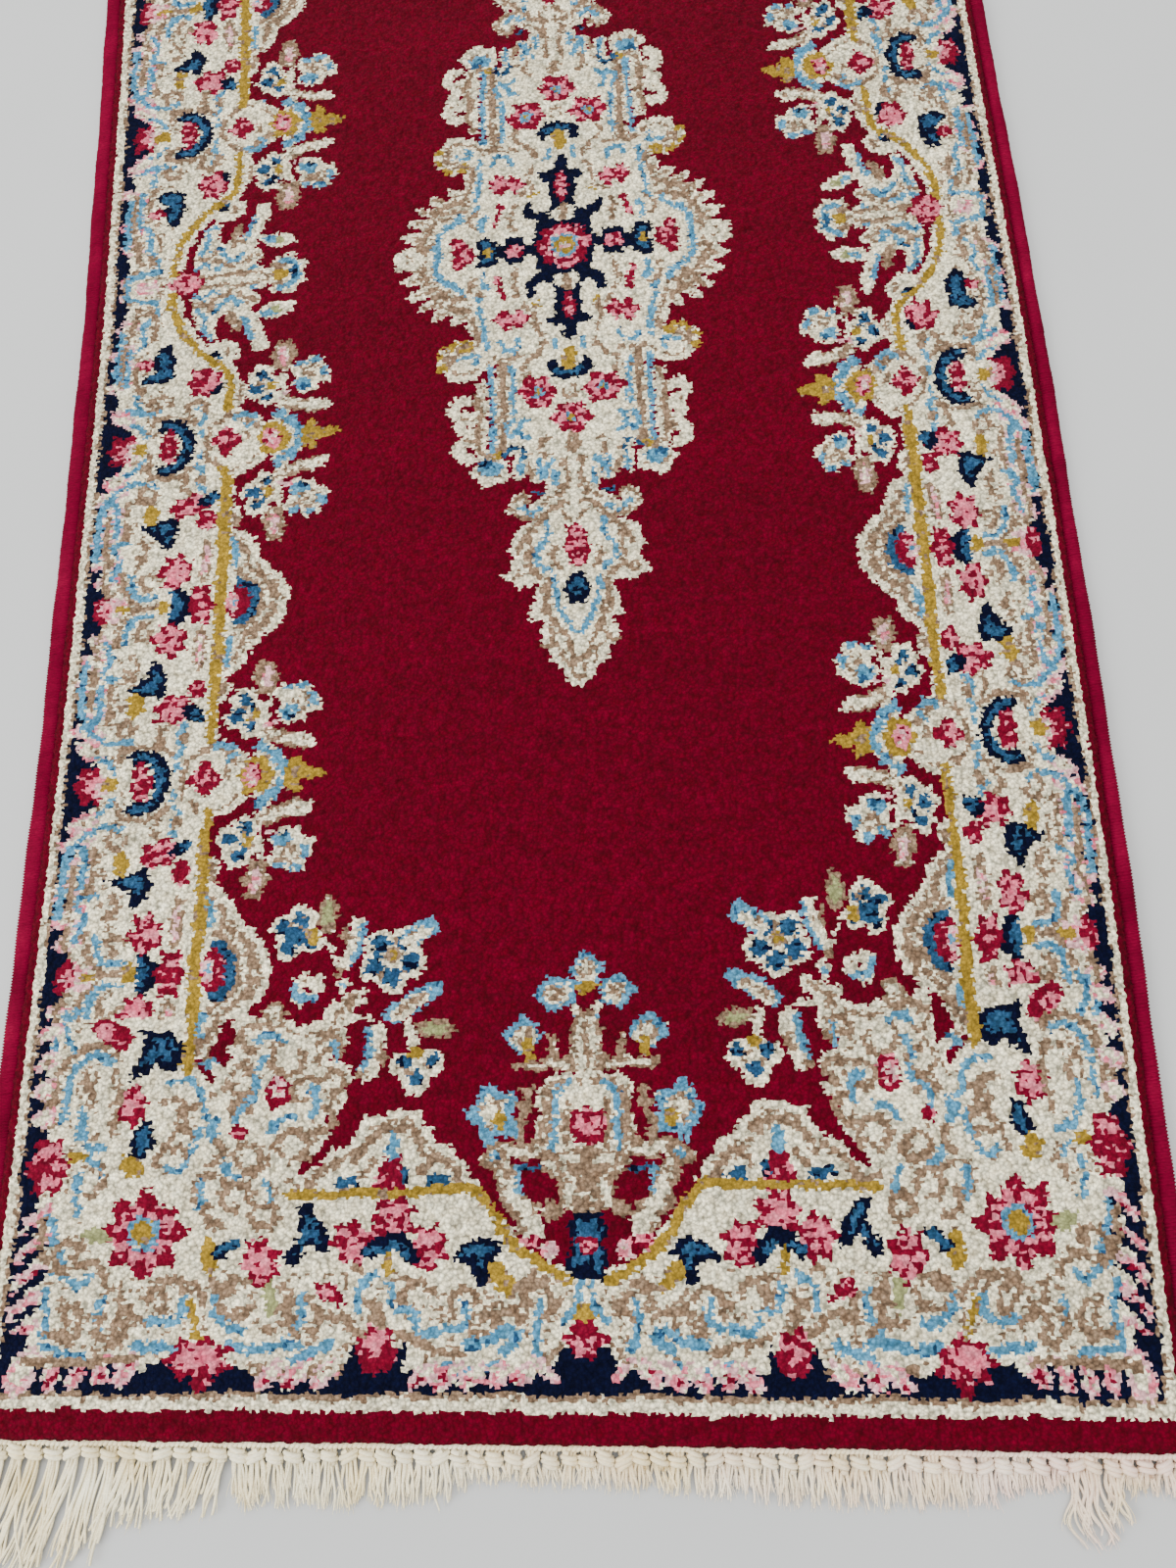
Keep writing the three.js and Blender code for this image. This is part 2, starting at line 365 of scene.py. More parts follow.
# ---- the borders ------------------------------------------------------------------------
def plain_bands():
    """Field, guard and stripes, before anything is drawn on them."""
    area(CRIMSON, (0, 0), (23.2, 0), (23.2, 58), (16, 64.9), (6.5, 64.9), (4.7, 67), (2.8, 69),
         (0, 69.9))
    area(CRIMSON, (20, 0), (27.6, 0), (27.5, 1.2), (27.1, 3), (26.2, 5), (25, 6.2), (23.6, 7.3),
         (23.0, 9), (23.2, 11), (20, 11))
    area(NAVY, (31.5, 0), (32.4, 0), (32.4, 76), (31.4, 76))
    area(NAVY, (0, 74.9), (31.6, 74.9), (32.4, 76.0), (0, 76.0))
    area(TAN, (32.35, 0), (32.6, 0), (32.6, 76.3), (0, 76.3), (0, 75.95), (32.35, 75.95))
    area(IVORY, (32.55, 0), (33.2, 0), (33.2, 76.85), (0, 76.85), (0, 76.25), (32.55, 76.25))
    area(CRIMSON, (33.15, 0), (33.6, 0), (33.6, 79), (0, 79), (0, 76.85), (33.15, 76.85))


def side_repeat():
    """The side border from a palmette, at y 0, to a cartouche, at y 12.65."""
    # guard block with its half flower, and leaf tips that cover the navy
    area(NAVY, (31.0, -2.3), (32.4, -2.6), (32.4, 2.6), (31.0, 2.3), (30.6, 1.3), (30.8, 0),
         (30.6, -1.3))
    spot(RUBY, 30.9, 0, 0.95, 1.25, 0, 6)
    spot(BLUSH, 30.4, 0, 0.6, 0.75)
    spot(PINK, 30.9, 0.1, 0.35, 0.4)
    spot(GOLD, 29.6, 0, 0.7, 0.5)
    for at, tip in ((2.7, 31.9), (3.9, 32.3), (5.6, 32.2), (7.2, 32.4), (9.0, 32.2), (10.4, 31.9)):
        two_tone_leaf(30.2, at - 0.8, tip, at + 0.35, 1.15, BLUSH, IVORY)
    area(NAVY, (31.2, 11.2), (32.4, 10.9), (32.4, 14.4), (31.2, 14.1), (30.8, 12.65))
    spot(RUBY, 31.2, 12.65, 0.6, 1.15)
    spot(BLUSH, 30.5, 12.65, 0.8, 0.95, 0, 5)
    spot(PINK, 31.0, 12.65, 0.35, 0.6)
    # palmette inside the border
    line(NAVY, 0.95, (28.1, -1.75), (27.2, -1.7), (26.55, -0.9), (26.35, 0), (26.55, 0.9),
         (27.2, 1.7), (28.1, 1.75))
    line(BLUE, 0.42, (28.0, -1.8), (27.3, -1.65), (26.7, -0.85), (26.5, 0), (26.7, 0.85),
         (27.3, 1.65), (28.0, 1.8))
    spot(RUBY, 27.7, 0, 0.62, 1.35)
    for at in (0.3, 0.9):
        line(PINK, 0.24, (27.9, at), (27.45, at + 0.1))
    line(TAN, 0.4, (28.7, 2.3), (27.2, 2.5), (25.8, 1.7))
    spot(SKY, 25.6, 0.9, 0.24, 0.4)
    spot(IVORY, 28.9, 0, 0.35, 0.9)
    line(TAN, 0.35, (29.3, 1.2), (28.9, 1.9), (28.9, 2.5))
    # blotches and scrolls of light blue
    line(SKY, 0.4, (25.7, 1.6), (25.4, 2.3), (25.7, 3.1), (25.3, 3.8))
    line(TAN, 0.4, (26.4, 2.5), (26.7, 3.4), (26.2, 4.0))
    line(SKY, 0.42, (31.3, 3.9), (30.5, 3.1), (29.7, 2.8), (28.6, 3.1))
    line(SKY, 0.35, (29.4, 1.0), (29.9, 1.7), (30.5, 2.0))
    scroll(TAN, 0.42, 28.8, 3.8, 0.72, -60, 300)
    line(SKY, 0.5, (31.9, 8.8), (32.0, 6.6), (31.8, 4.7), (31.3, 4.0), (30.8, 4.9), (30.8, 6.9))
    line(TAN, 0.4, (31.35, 8.4), (31.35, 5.4))
    line(TAN, 0.45, (30.2, 4.3), (30.1, 6.0), (30.2, 7.5))
    line(SKY, 0.4, (29.9, 7.4), (30.8, 7.8), (30.4, 8.9), (30.8, 10.3))
    line(TAN, 0.4, (31.2, 9.0), (31.4, 10.4), (31.0, 11.4))
    line(SKY, 0.45, (29.6, 10.1), (29.4, 11.3), (28.8, 12.0), (27.9, 11.9))
    line(TAN, 0.4, (30.2, 9.9), (30.0, 11.3), (29.3, 12.2))
    scroll(TAN, 0.4, 28.3, 10.6, 0.7, 90, -280)
    line(TAN, 0.4, (29.0, 7.4), (28.6, 8.3), (29.0, 9.0))
    # roses, leaves
    rose(26.0, 4.9, 1.35, 1.0, 12)
    area(NAVY, (24.2, 3.9), (25.2, 4.1), (25.7, 4.9), (24.8, 5.3), (24.3, 4.8))
    spot(BLUE, 24.6, 4.5, 0.42, 0.4)
    spot(RUBY, 24.7, 6.3, 0.6, 0.8)
    spot(PINK, 24.7, 6.6, 0.3, 0.3)
    leaf(GOLD, 28.6, 4.5, 28.5, 6.5, 0.95)
    area(NAVY, (29.4, 6.5), (28.0, 6.1), (27.0, 5.7), (26.6, 6.9), (26.9, 7.9), (27.6, 8.6),
         (28.0, 7.6), (28.6, 7.0))
    area(BLUE, (28.7, 6.6), (27.6, 6.2), (27.1, 6.5), (27.1, 7.3), (27.5, 7.8), (27.8, 7.0))
    rose(26.7, 10.1, 1.0, 1.3)
    spot(TAN, 24.8, 9.4, 0.42, 1.7)
    spot(BLUSH, 24.8, 9.4, 0.2, 1.2)
    spot(TAN, 25.4, 2.9, 0.3, 0.5)
    # cartouche axis
    line(TAN, 0.5, (29.6, 12.65), (27.4, 12.65))
    spot(GOLD, 29.9, 12.65, 0.55, 0.35)
    spot(GOLD, 27.4, 12.65, 0.45, 0.6)
    area(NAVY, (26.9, 11.4), (26.3, 11.3), (25.6, 12.0), (25.6, 13.3), (26.3, 14.0), (26.9, 13.9))
    area(BLUE, (26.9, 11.5), (26.5, 11.6), (26.2, 12.4), (26.2, 12.9), (26.5, 13.7), (26.9, 13.8))
    spot(RUBY, 24.9, 12.65, 0.85, 1.45, 0, 6)
    for at in (11.9, 12.65):
        spot(PINK, 24.9, at, 0.5, 0.24)


GOLD_WIDTH = 0.56


def gold_line():
    """The gold line between the border and the field."""
    line(GOLD, GOLD_WIDTH, (28.2, 0.9), (28.0, 2.2), (27.5, 4.0), (26.5, 5.6), (25.4, 6.8), (24.3, 7.6),
         (23.8, 8.8), (23.8, 11.2))
    line(GOLD, GOLD_WIDTH, (23.8, 16), (23.75, 28), (23.6, 36.6), smooth=False)
    line(GOLD, GOLD_WIDTH, (23.4, 41.5), (23.3, 57.9), smooth=False)
    line(GOLD, GOLD_WIDTH, (16.9, 65.35), (6.7, 65.1), smooth=False)
    line(GOLD, GOLD_WIDTH, (6.7, 65.1), (5.7, 66.1), (4.9, 67.3), (4.0, 68.4), (2.7, 69.3), (1.2, 70.2))


def side_cartouche():
    """The half medallion that stands on the gold line, at y 12.65 of a side repeat."""
    right = [(23.3, 5.1), (22.6, 5.6), (22.5, 6.4), (22.9, 7.1), (22.2, 7.5), (21.5, 8.1),
             (21.3, 9.2), (20.6, 9.8), (20.2, 10.4), (19.5, 10.9), (19.1, 11.7), (18.9, 12.65)]
    left = [(x, REPEAT - y) for x, y in reversed(right)]
    area(IVORY, *right, *left, (23.4, 20.2))
    line(TAN, 0.45, (22.4, 8.4), (21.9, 9.3), (21.9, 10.0), (21.1, 10.6), (20.4, 11.4),
         (20.0, 12.65))
    line(TAN, 0.4, (22.5, 10.3), (21.6, 11.0), (21.0, 11.6), (20.8, 12.65))
    line(TAN, 0.35, (23.0, 6.0), (22.8, 6.8))
    line(SKY, 0.42, (22.9, 8.0), (22.8, 9.9))
    spot(RUBY, 22.3, 12.65, 0.8, 1.45)
    line(BLUE, 0.62, (22.3, 11.1), (21.5, 11.7), (21.25, 12.65), (21.5, 13.6), (22.3, 14.2))
    spot(BLUSH, 22.7, 12.65, 0.4, 0.7)
    spot(SKY, 22.6, 12.65, 0.16, 0.35)


def side_palmette():
    """The flower head and its sprays on the field, at y 0 of a side repeat."""
    area(IVORY, (23.9, -2.5), (23.0, -2.7), (22.3, -2.5), (21.6, -1.9), (21.0, -1.4), (20.6, 0),
         (21.0, 1.4), (21.6, 1.9), (22.3, 2.5), (23.0, 2.7), (23.9, 2.5))
    area(IVORY, (20.5, -2.2), (19.9, -2.6), (19.5, -1.8), (18.7, -1.1), (18.4, 0), (18.7, 1.1),
         (19.5, 1.8), (19.9, 2.6), (20.5, 2.2), (21.0, 0))
    line(SKY, 0.45, (20.3, 2.2), (19.6, 1.3), (18.8, 0.7), (18.7, 0))
    line(SKY, 0.45, (20.3, -2.2), (19.6, -1.3), (18.8, -0.7), (18.7, 0))
    for angle in (95, 130, 165, 195, 230, 265):
        a = math.radians(angle)
        spot(SKY, 20.4 + 1.55 * math.cos(a), 1.95 * math.sin(a), 0.42, 0.38)
    spot(GOLD, 20.5, 0, 1.1, 1.25, 0, 6, 0.08)
    spot(PINK, 20.7, 0, 0.6, 0.8)
    spot(BLUSH, 20.7, 0, 0.3, 0.42)
    for x, y in ((18.1, -0.6), (18.1, 0.6), (17.3, 0)):
        leaf(GOLD, 18.6, 0, x * 1.9 - 18.6 * 0.9, y * 1.9, 0.95)
    spot(TAN, 18.0, 0, 0.22, 0.3)
    line(TAN, 0.4, (24.6, 1.5), (23.4, 2.3), (22.4, 1.5), (21.7, 0.9))
    line(SKY, 0.5, (23.3, 2.0), (22.6, 2.3), (22.0, 2.0))
    line(SKY, 0.35, (22.4, 1.1), (21.9, 1.5))
    spot(RUBY, 23.8, 0, 0.95, 0.95, 0, 4, 0.2)
    spot(PINK, 24.0, 0, 0.5, 0.35)
    spot(PINK, 23.4, 0.3, 0.25, 0.22)
    line(TAN, 0.35, (25.0, 1.1), (25.2, 0.0))
    line(TAN, 0.35, (22.5, 0.6), (22.3, 0.0))
    # leaf, stems and flowers of a spray
    line(TAN, 0.95, (20.1, 3.0), (18.9, 2.5), (17.7, 2.3))
    line(IVORY, 0.5, (19.9, 2.9), (18.8, 2.5), (17.8, 2.2))
    spot(IVORY, 17.5, 2.4, 0.8, 0.42, 30)
    line(IVORY, 0.32, (20.3, 2.6), (20.1, 4.0), (19.9, 5.7))
    dotted(BLUSH, 0.17, 0.42, (20.4, 3.5), (19.4, 3.8), (18.6, 3.5))
    for x, y, size in ((21.0, 3.4, 0.75), (21.9, 4.2, 0.85), (21.5, 5.4, 0.85), (20.7, 4.6, 0.75)):
        spot(IVORY, x, y, size, size * 0.95, 0, 5, 0.14)
    for x, y, size in ((21.0, 3.5, 0.38), (21.9, 4.3, 0.48), (21.5, 5.4, 0.42), (21.1, 4.9, 0.25)):
        spot(BLUE, x, y, size)
    spot(GOLD, 20.8, 4.3, 0.34, 0.4)
    for x, y, size in ((18.5, 4.4, 0.95), (17.4, 4.9, 0.75), (18.9, 5.6, 0.7), (17.9, 5.8, 0.75)):
        spot(IVORY, x, y, size, size * 0.95, 0, 5, 0.14)
    spot(SKY, 18.7, 4.3, 0.62, 0.5)
    spot(BLUE, 18.5, 4.0, 0.35, 0.22)
    spot(SKY, 17.2, 5.2, 0.32, 0.45)
    spot(SKY, 18.9, 6.0, 0.42, 0.24)
    spot(SKY, 17.9, 6.2, 0.4, 0.26)
    spot(TAN, 18.1, 5.1, 0.24)
    spot(TAN, 20.2, 6.9, 0.78, 1.3, 0, 6, 0.1)
    spot(BLUSH, 20.2, 6.9, 0.34, 0.75)


def bay():
    """The field's bay at mid length, with its flower complex, from y 0."""
    area(IVORY, (26.9, 0), (26.8, 1.6), (26.6, 3.0), (26.3, 4.2), (25.5, 5.3), (24.8, 5.0),
         (25.2, 4.0), (25.0, 3.3), (24.4, 3.1), (24.1, 4.5), (23.5, 4.5), (23.3, 3.2),
         (22.8, 2.7), (22.1, 2.5), (21.8, 1.9), (22.6, 1.3), (21.8, 0.9), (21.2, 0.5),
         (20.9, 0))
    spot(IVORY, 20.1, 0, 1.35, 1.75, 0, 7, 0.12)
    line(SKY, 0.5, (20.5, 1.2), (19.7, 0.9), (19.3, 0))
    spot(BLUE, 19.6, 0.2, 0.32)
    spot(GOLD, 20.6, 0.1, 0.55, 0.35)
    spot(TAN, 20.8, 0.8, 0.5, 0.3)
    line(TAN, 0.35, (26.2, 0.5), (24.8, 0.4), (23.6, 0.6), (22.2, 0.4))
    line(SKY, 0.4, (26.7, 1.0), (26.1, 1.6), (25.4, 1.1), (24.8, 1.2))
    line(SKY, 0.5, (25.0, 2.7), (24.5, 2.1), (24.0, 1.6), (23.4, 2.2))
    line(SKY, 0.45, (26.3, 2.4), (25.9, 3.4), (25.9, 4.4), (25.3, 4.9))
    spot(BLUE, 25.2, 2.8, 0.35, 0.28)
    line(TAN, 0.4, (26.4, 2.0), (25.7, 2.1), (25.4, 2.7))
    line(TAN, 0.4, (25.3, 1.8), (24.6, 1.4), (24.0, 1.1))
    line(TAN, 0.4, (23.4, 1.3), (22.8, 1.8), (22.2, 2.0))
    spot(SKY, 22.6, 0.9, 0.35, 0.25)
    leaf(TAN, 24.1, 2.8, 23.5, 4.8, 0.95)
    line(IVORY, 1.0, (22.9, 3.0), (22.6, 4.0), (22.1, 5.2), (21.9, 6.1))
    line(SKY, 0.42, (23.1, 3.6), (22.8, 4.6), (22.5, 5.4))
    leaf(IVORY, 22.2, 3.5, 19.5, 2.8, 1.25)
    leaf(SKY, 21.9, 3.5, 20.5, 3.1, 0.6)
    spot(MOSS, 20.7, 3.1, 0.35)
    spot(IVORY, 24.6, 5.9, 0.9, 0.6, -30, 4, 0.15)
    spot(IVORY, 23.8, 6.4, 0.6, 0.8)
    spot(TAN, 24.0, 6.3, 0.24, 0.42)
    spot(NAVY, 24.9, 6.5, 0.38, 0.26, 30)
    spot(BLUE, 24.5, 6.8, 0.22)
    area(IVORY, (23.4, 8), (22.7, 9.0), (22.6, 10.2), (23.1, 11.2), (23.9, 11.6), (24, 9))
    spot(TAN, 23.0, 9.6, 0.24, 0.75)
    # in the border: panel, rose and leaves
    area(NAVY, (31.4, 1.9), (32.4, 1.6), (32.4, 3.2), (31.6, 2.8))
    for at, tip in ((0.6, 32.1), (3.7, 32.1), (5.7, 32.2), (7.0, 32.0), (8.6, 32.3)):
        two_tone_leaf(30.6, at - 0.7, tip, at + 0.3, 1.0, BLUSH, IVORY)
    area(TAN, (31.9, 0), (31.9, 1.0), (31.2, 1.4), (29.2, 1.3), (28.9, 0))
    area(IVORY, (31.6, 0), (31.5, 0.8), (31.0, 1.1), (29.4, 1.0), (29.1, 0))
    area(BLUSH, (31.0, 0), (30.9, 0.6), (29.5, 0.6), (29.3, 0))
    line(SKY, 0.42, (31.6, 0), (31.5, 0.8), (30.6, 1.2), (29.2, 1.3))
    rose(27.3, 0.0, 1.35, 1.1, 0, 6)
    line(SKY, 0.42, (31.7, 3.8), (31.7, 8.0))
    line(SKY, 0.42, (30.9, 5.4), (30.9, 8.6))
    line(SKY, 0.42, (29.3, 1.4), (29.4, 2.6), (30.2, 3.4), (30.1, 4.8), (30.4, 5.4))
    line(TAN, 0.42, (30.7, 2.0), (30.9, 3.2), (31.3, 4.6))
    line(TAN, 0.42, (31.3, 5.2), (31.3, 8.4))
    line(TAN, 0.4, (29.9, 1.9), (29.3, 3.2), (29.5, 4.6))
    line(TAN, 0.4, (30.2, 6.2), (30.3, 8.0), (29.9, 9.2))
    area(NAVY, (28.9, 5.4), (28.2, 5.3), (27.6, 6.4), (27.7, 8.2), (28.6, 8.6), (29.8, 8.5),
         (29.9, 7.8), (29.0, 7.4), (29.2, 6.3))
    area(BLUE, (28.8, 5.8), (28.2, 6.0), (28.0, 6.8), (28.0, 8.0), (28.6, 8.3), (29.6, 8.2),
         (29.3, 7.6), (28.7, 7.2))
    spot(RUBY, 29.5, 6.7, 0.45, 0.45)
    spot(PINK, 29.9, 6.7, 0.4, 0.35)
    rose(25.6, 8.7, 1.15, 1.2)
    area(NAVY, (24.9, 8.9), (24.3, 8.8), (24.6, 9.9), (25.1, 9.8))
    scroll(TAN, 0.4, 28.6, 10.4, 0.8, 180, 240)
    line(SKY, 0.4, (30.2, 9.4), (30.0, 10.6), (29.2, 11.2))
    line(TAN, 0.4, (26.6, 10.6), (26.0, 10.2), (25.2, 10.6))


# ---- the corner -------------------------------------------------------------------------
def corner_border():
    """The border where a side meets an end: leaves, a rose, scrolls and the guard."""
    leaf(RUBY, 29.1, 54.7, 26.9, 56.4, 1.5)
    leaf(PINK, 28.9, 55.2, 27.6, 56.0, 0.8)
    area(NAVY, (26.6, 55.3), (25.6, 55.6), (24.6, 55.6), (23.8, 56.4), (23.8, 57.9), (24.6, 57.9),
         (25.2, 57.4), (25.6, 57.9), (26.7, 58.5), (26.5, 57.6), (26.1, 56.6))
    area(BLUE, (25.8, 56.0), (24.8, 55.9), (24.2, 56.6), (24.5, 57.5), (25.0, 57.0),
         (25.8, 57.4), (26.2, 57.8), (25.8, 56.9))
    rose(26.5, 59.9, 1.0, 1.15)
    area(NAVY, (25.2, 60.8), (25.9, 60.9), (26.4, 62.3), (26.4, 63.0), (25.6, 62.9), (25.0, 62.0))
    leaf(BLUE, 25.4, 61.1, 25.9, 62.6, 0.6)
    leaf(GOLD, 26.8, 62.9, 25.6, 63.9, 1.2)
    spot(GOLD, 29.3, 62.9, 0.55, 0.35)
    line(SKY, 0.45, (27.9, 57.3), (28.8, 56.8), (29.8, 57.5), (30.2, 58.6), (30.4, 60.6))
    line(SKY, 0.5, (29.3, 60.2), (29.3, 61.4), (28.8, 62.2), (27.9, 62.4))
    line(TAN, 0.45, (27.6, 56.9), (28.9, 56.2), (30.4, 57.1), (30.9, 58.7), (31.0, 60.8))
    line(TAN, 0.45, (27.6, 57.8), (27.3, 59.0), (27.6, 61.5))
    line(TAN, 0.4, (29.3, 58.4), (28.8, 59.3), (29.1, 60.0))
    line(SKY, 0.42, (31.4, 57.4), (31.1, 56.4), (31.4, 55.4))
    line(SKY, 0.4, (30.1, 56.4), (30.6, 55.2), (30.2, 54.0))
    line(TAN, 0.42, (31.7, 58.4), (31.4, 60.0), (31.5, 61.2))
    for at in (55.4, 57.2, 58.9, 60.6):
        two_tone_leaf(30.9, at - 0.6, 32.2, at + 0.4, 1.0, BLUSH, IVORY)
    # red half flower on the guard
    area(NAVY, (31.2, 61.2), (32.4, 60.8), (32.4, 65.6), (31.2, 65.2))
    spot(RUBY, 30.9, 63.4, 1.15, 1.7, 0, 6, 0.12)
    spot(PINK, 30.9, 62.5, 0.7, 0.4)
    spot(PINK, 30.7, 64.3, 0.6, 0.4)
    spot(PINK, 30.3, 63.4, 0.5, 0.25)
    line(SKY, 0.4, (29.1, 64.0), (29.2, 65.2), (28.8, 66.2))
    line(SKY, 0.35, (28.6, 63.0), (27.9, 63.8))
    line(TAN, 0.4, (28.2, 64.8), (27.6, 64.2), (27.9, 63.4))
    rosette(25.0, 67.3, 2.25, 0.95)
    leaf(MOSS, 28.4, 67.2, 26.9, 67.5, 0.9)
    leaf(GOLD, 21.4, 67.6, 21.0, 69.7, 1.0)
    area(NAVY, (21.2, 68.4), (20.2, 67.7), (18.9, 67.6), (19.8, 68.1), (20.6, 68.9))
    leaf(BLUE, 20.9, 68.5, 19.4, 67.7, 0.5)
    rose(18.4, 69.0, 1.05, 1.3)
    leaf(MOSS, 17.9, 69.9, 17.5, 71.9, 0.75)
    # corner leaf guard
    for at in (66.4, 68.0, 69.6, 71.2, 72.7):
        line(BLUSH, 0.62, (30.6, at - 0.5), (31.4, at), (31.9, at + 0.7))
        line(PINK, 0.22, (31.0, at - 0.2), (31.7, at + 0.4))
    for at in (67.2, 68.8, 70.4, 72.0):
        line(NAVY, 0.45, (30.5, at - 0.9), (31.5, at - 0.1))
    area(NAVY, (30.8, 72.7), (32.4, 73.0), (32.4, 74.6), (31.0, 74.0))
    two_tone_leaf(30.4, 73.6, 31.6, 76.1, 1.7, BLUSH, IVORY)
    for at, tip in ((29.4, 75.8), (28.1, 75.8), (26.8, 75.7), (25.5, 75.6)):
        line(NAVY, 0.55, (at + 0.7, 74.4), (at + 0.55, 75.0), (at + 0.7, 75.9))
        leaf(BLUSH, at - 0.6, 73.9, at + 0.3, tip, 1.05)
        leaf(PINK, at - 0.3, 74.5, at + 0.25, tip - 0.05, 0.36)
    # scrolls towards the corner
    line(SKY, 0.45, (30.4, 66.4), (30.1, 67.6), (29.5, 68.7))
    line(SKY, 0.45, (30.0, 69.5), (29.2, 69.7), (28.6, 70.3), (27.9, 69.8))
    line(SKY, 0.42, (30.3, 70.4), (29.9, 71.8), (30.1, 73.2), (29.6, 73.7), (27.9, 73.9))
    line(SKY, 0.45, (27.1, 71.2), (27.2, 72.0), (26.9, 72.9))
    line(TAN, 0.45, (30.9, 66.5), (30.5, 68.6), (29.6, 69.4))
    line(TAN, 0.45, (28.4, 67.9), (28.7, 69.0), (27.6, 69.0), (26.9, 70.0))
    line(TAN, 0.4, (29.2, 71.0), (28.8, 72.4), (29.3, 73.1))
    line(TAN, 0.45, (28.4, 71.3), (28.0, 72.4), (28.4, 73.2))
    line(TAN, 0.5, (30.9, 74.4), (28.0, 74.3), (25.0, 74.2))
    line(TAN, 0.4, (26.3, 70.3), (26.0, 71.8), (26.3, 72.8))


def corner_palmette():
    """The big scalloped shell where the side and end borders meet, on the field."""
    area(IVORY, (21.2, 53.9), (19.6, 54.9), (18.9, 54.2), (18.2, 54.9), (16.9, 55.4),
         (15.3, 55.0), (14.3, 55.3), (13.9, 56.5), (14.6, 57.2), (15.3, 57.5), (14.0, 58.0),
         (13.8, 58.9), (14.7, 59.2), (13.9, 59.9), (14.5, 60.7), (15.3, 61.0), (14.7, 61.9),
         (15.4, 62.8), (16.4, 63.4), (16.4, 64.6), (17.2, 65.4), (24, 66), (24, 57.6),
         (22.6, 57.9), (21.8, 58.9), (21.0, 57.4), (20.9, 55.6))
    area(CRIMSON, (20.9, 54.6), (21.6, 55.2), (21.9, 56.3), (22.5, 57.6), (21.6, 57.0),
         (20.8, 56.2))
    for x, y, size, start, sweep in (
        (19.7, 56.2, 1.1, 200, 260), (17.5, 57.3, 1.25, -60, 280), (15.3, 56.7, 0.95, 120, 270),
        (14.9, 58.8, 0.85, 90, 240), (16.4, 59.4, 0.9, 240, 260), (15.5, 61.0, 0.95, 60, 260),
        (17.1, 62.6, 1.15, 150, 260), (20.0, 58.6, 0.9, 20, 260), (19.3, 63.2, 1.0, 300, 250),
        (20.2, 60.3, 0.7, 180, 220), (22.9, 60.9, 1.0, 240, 240), (23.6, 63.0, 0.9, 60, 250),
        (21.6, 65.2, 1.1, 200, 270), (18.4, 65.2, 0.95, 330, 260),
    ):
        scroll(TAN, 0.46, x, y, size, start, sweep, 0.45)
    two_tone_leaf(18.8, 53.9, 18.5, 55.6, 1.3)
    line(SKY, 0.42, (19.6, 56.3), (18.9, 55.9), (18.0, 56.2))
    line(SKY, 0.42, (19.1, 57.3), (19.5, 58.3), (19.3, 59.4), (20.2, 60.4), (20.4, 61.2))
    line(SKY, 0.35, (14.9, 56.4), (14.8, 57.6))
    line(SKY, 0.5, (16.3, 59.2), (15.7, 59.6), (15.9, 60.8))
    line(SKY, 0.42, (17.1, 60.9), (17.8, 61.0), (18.3, 61.7))
    spot(RUBY, 18.0, 59.3, 0.75, 1.0)
    spot(BLUSH, 18.1, 59.2, 0.42, 0.62)
    spot(RUBY, 18.0, 59.3, 0.14, 0.3)
    line(SKY, 0.42, (24.2, 58.6), (23.2, 58.5), (22.4, 59.4), (22.2, 60.4), (21.3, 60.9))
    line(SKY, 0.42, (22.4, 61.6), (22.6, 62.6), (23.3, 63.8), (24.1, 63.5))
    line(SKY, 0.42, (22.1, 64.6), (22.0, 66.2))
    line(SKY, 0.5, (20.9, 63.3), (20.6, 64.0), (20.0, 64.3))
    line(SKY, 0.35, (18.3, 64.4), (17.9, 65.6))
    line(TAN, 0.45, (24.6, 59.6), (23.5, 59.6), (23.1, 60.8), (22.8, 61.9))
    line(TAN, 0.45, (23.8, 61.6), (24.5, 62.6), (24.8, 63.4))
    scroll(TAN, 0.45, 20.0, 65.4, 0.9, 200, 260, 0.3)
    scroll(TAN, 0.45, 18.2, 66.4, 0.75, 0, 260, 0.3)
    line(TAN, 0.45, (21.4, 62.0), (20.9, 62.8), (21.6, 63.7))
    line(TAN, 0.45, (19.3, 62.4), (18.4, 63.4), (19.0, 64.2))
    line(TAN, 0.5, (21.8, 66.2), (21.3, 66.9), (20.6, 67.0))
    spot(SKY, 21.6, 61.6, 0.45, 0.6)
    spot(RUBY, 20.2, 61.6, 0.5, 0.42)
    line(IVORY, 0.5, (22.7, 57.0), (21.9, 57.6), (21.2, 58.4))
    spot(SKY, 22.0, 57.6, 0.5, 0.4)
    spot(IVORY, 21.6, 57.8, 0.28)
    two_tone_leaf(22.9, 56.0, 22.2, 57.3, 0.8)


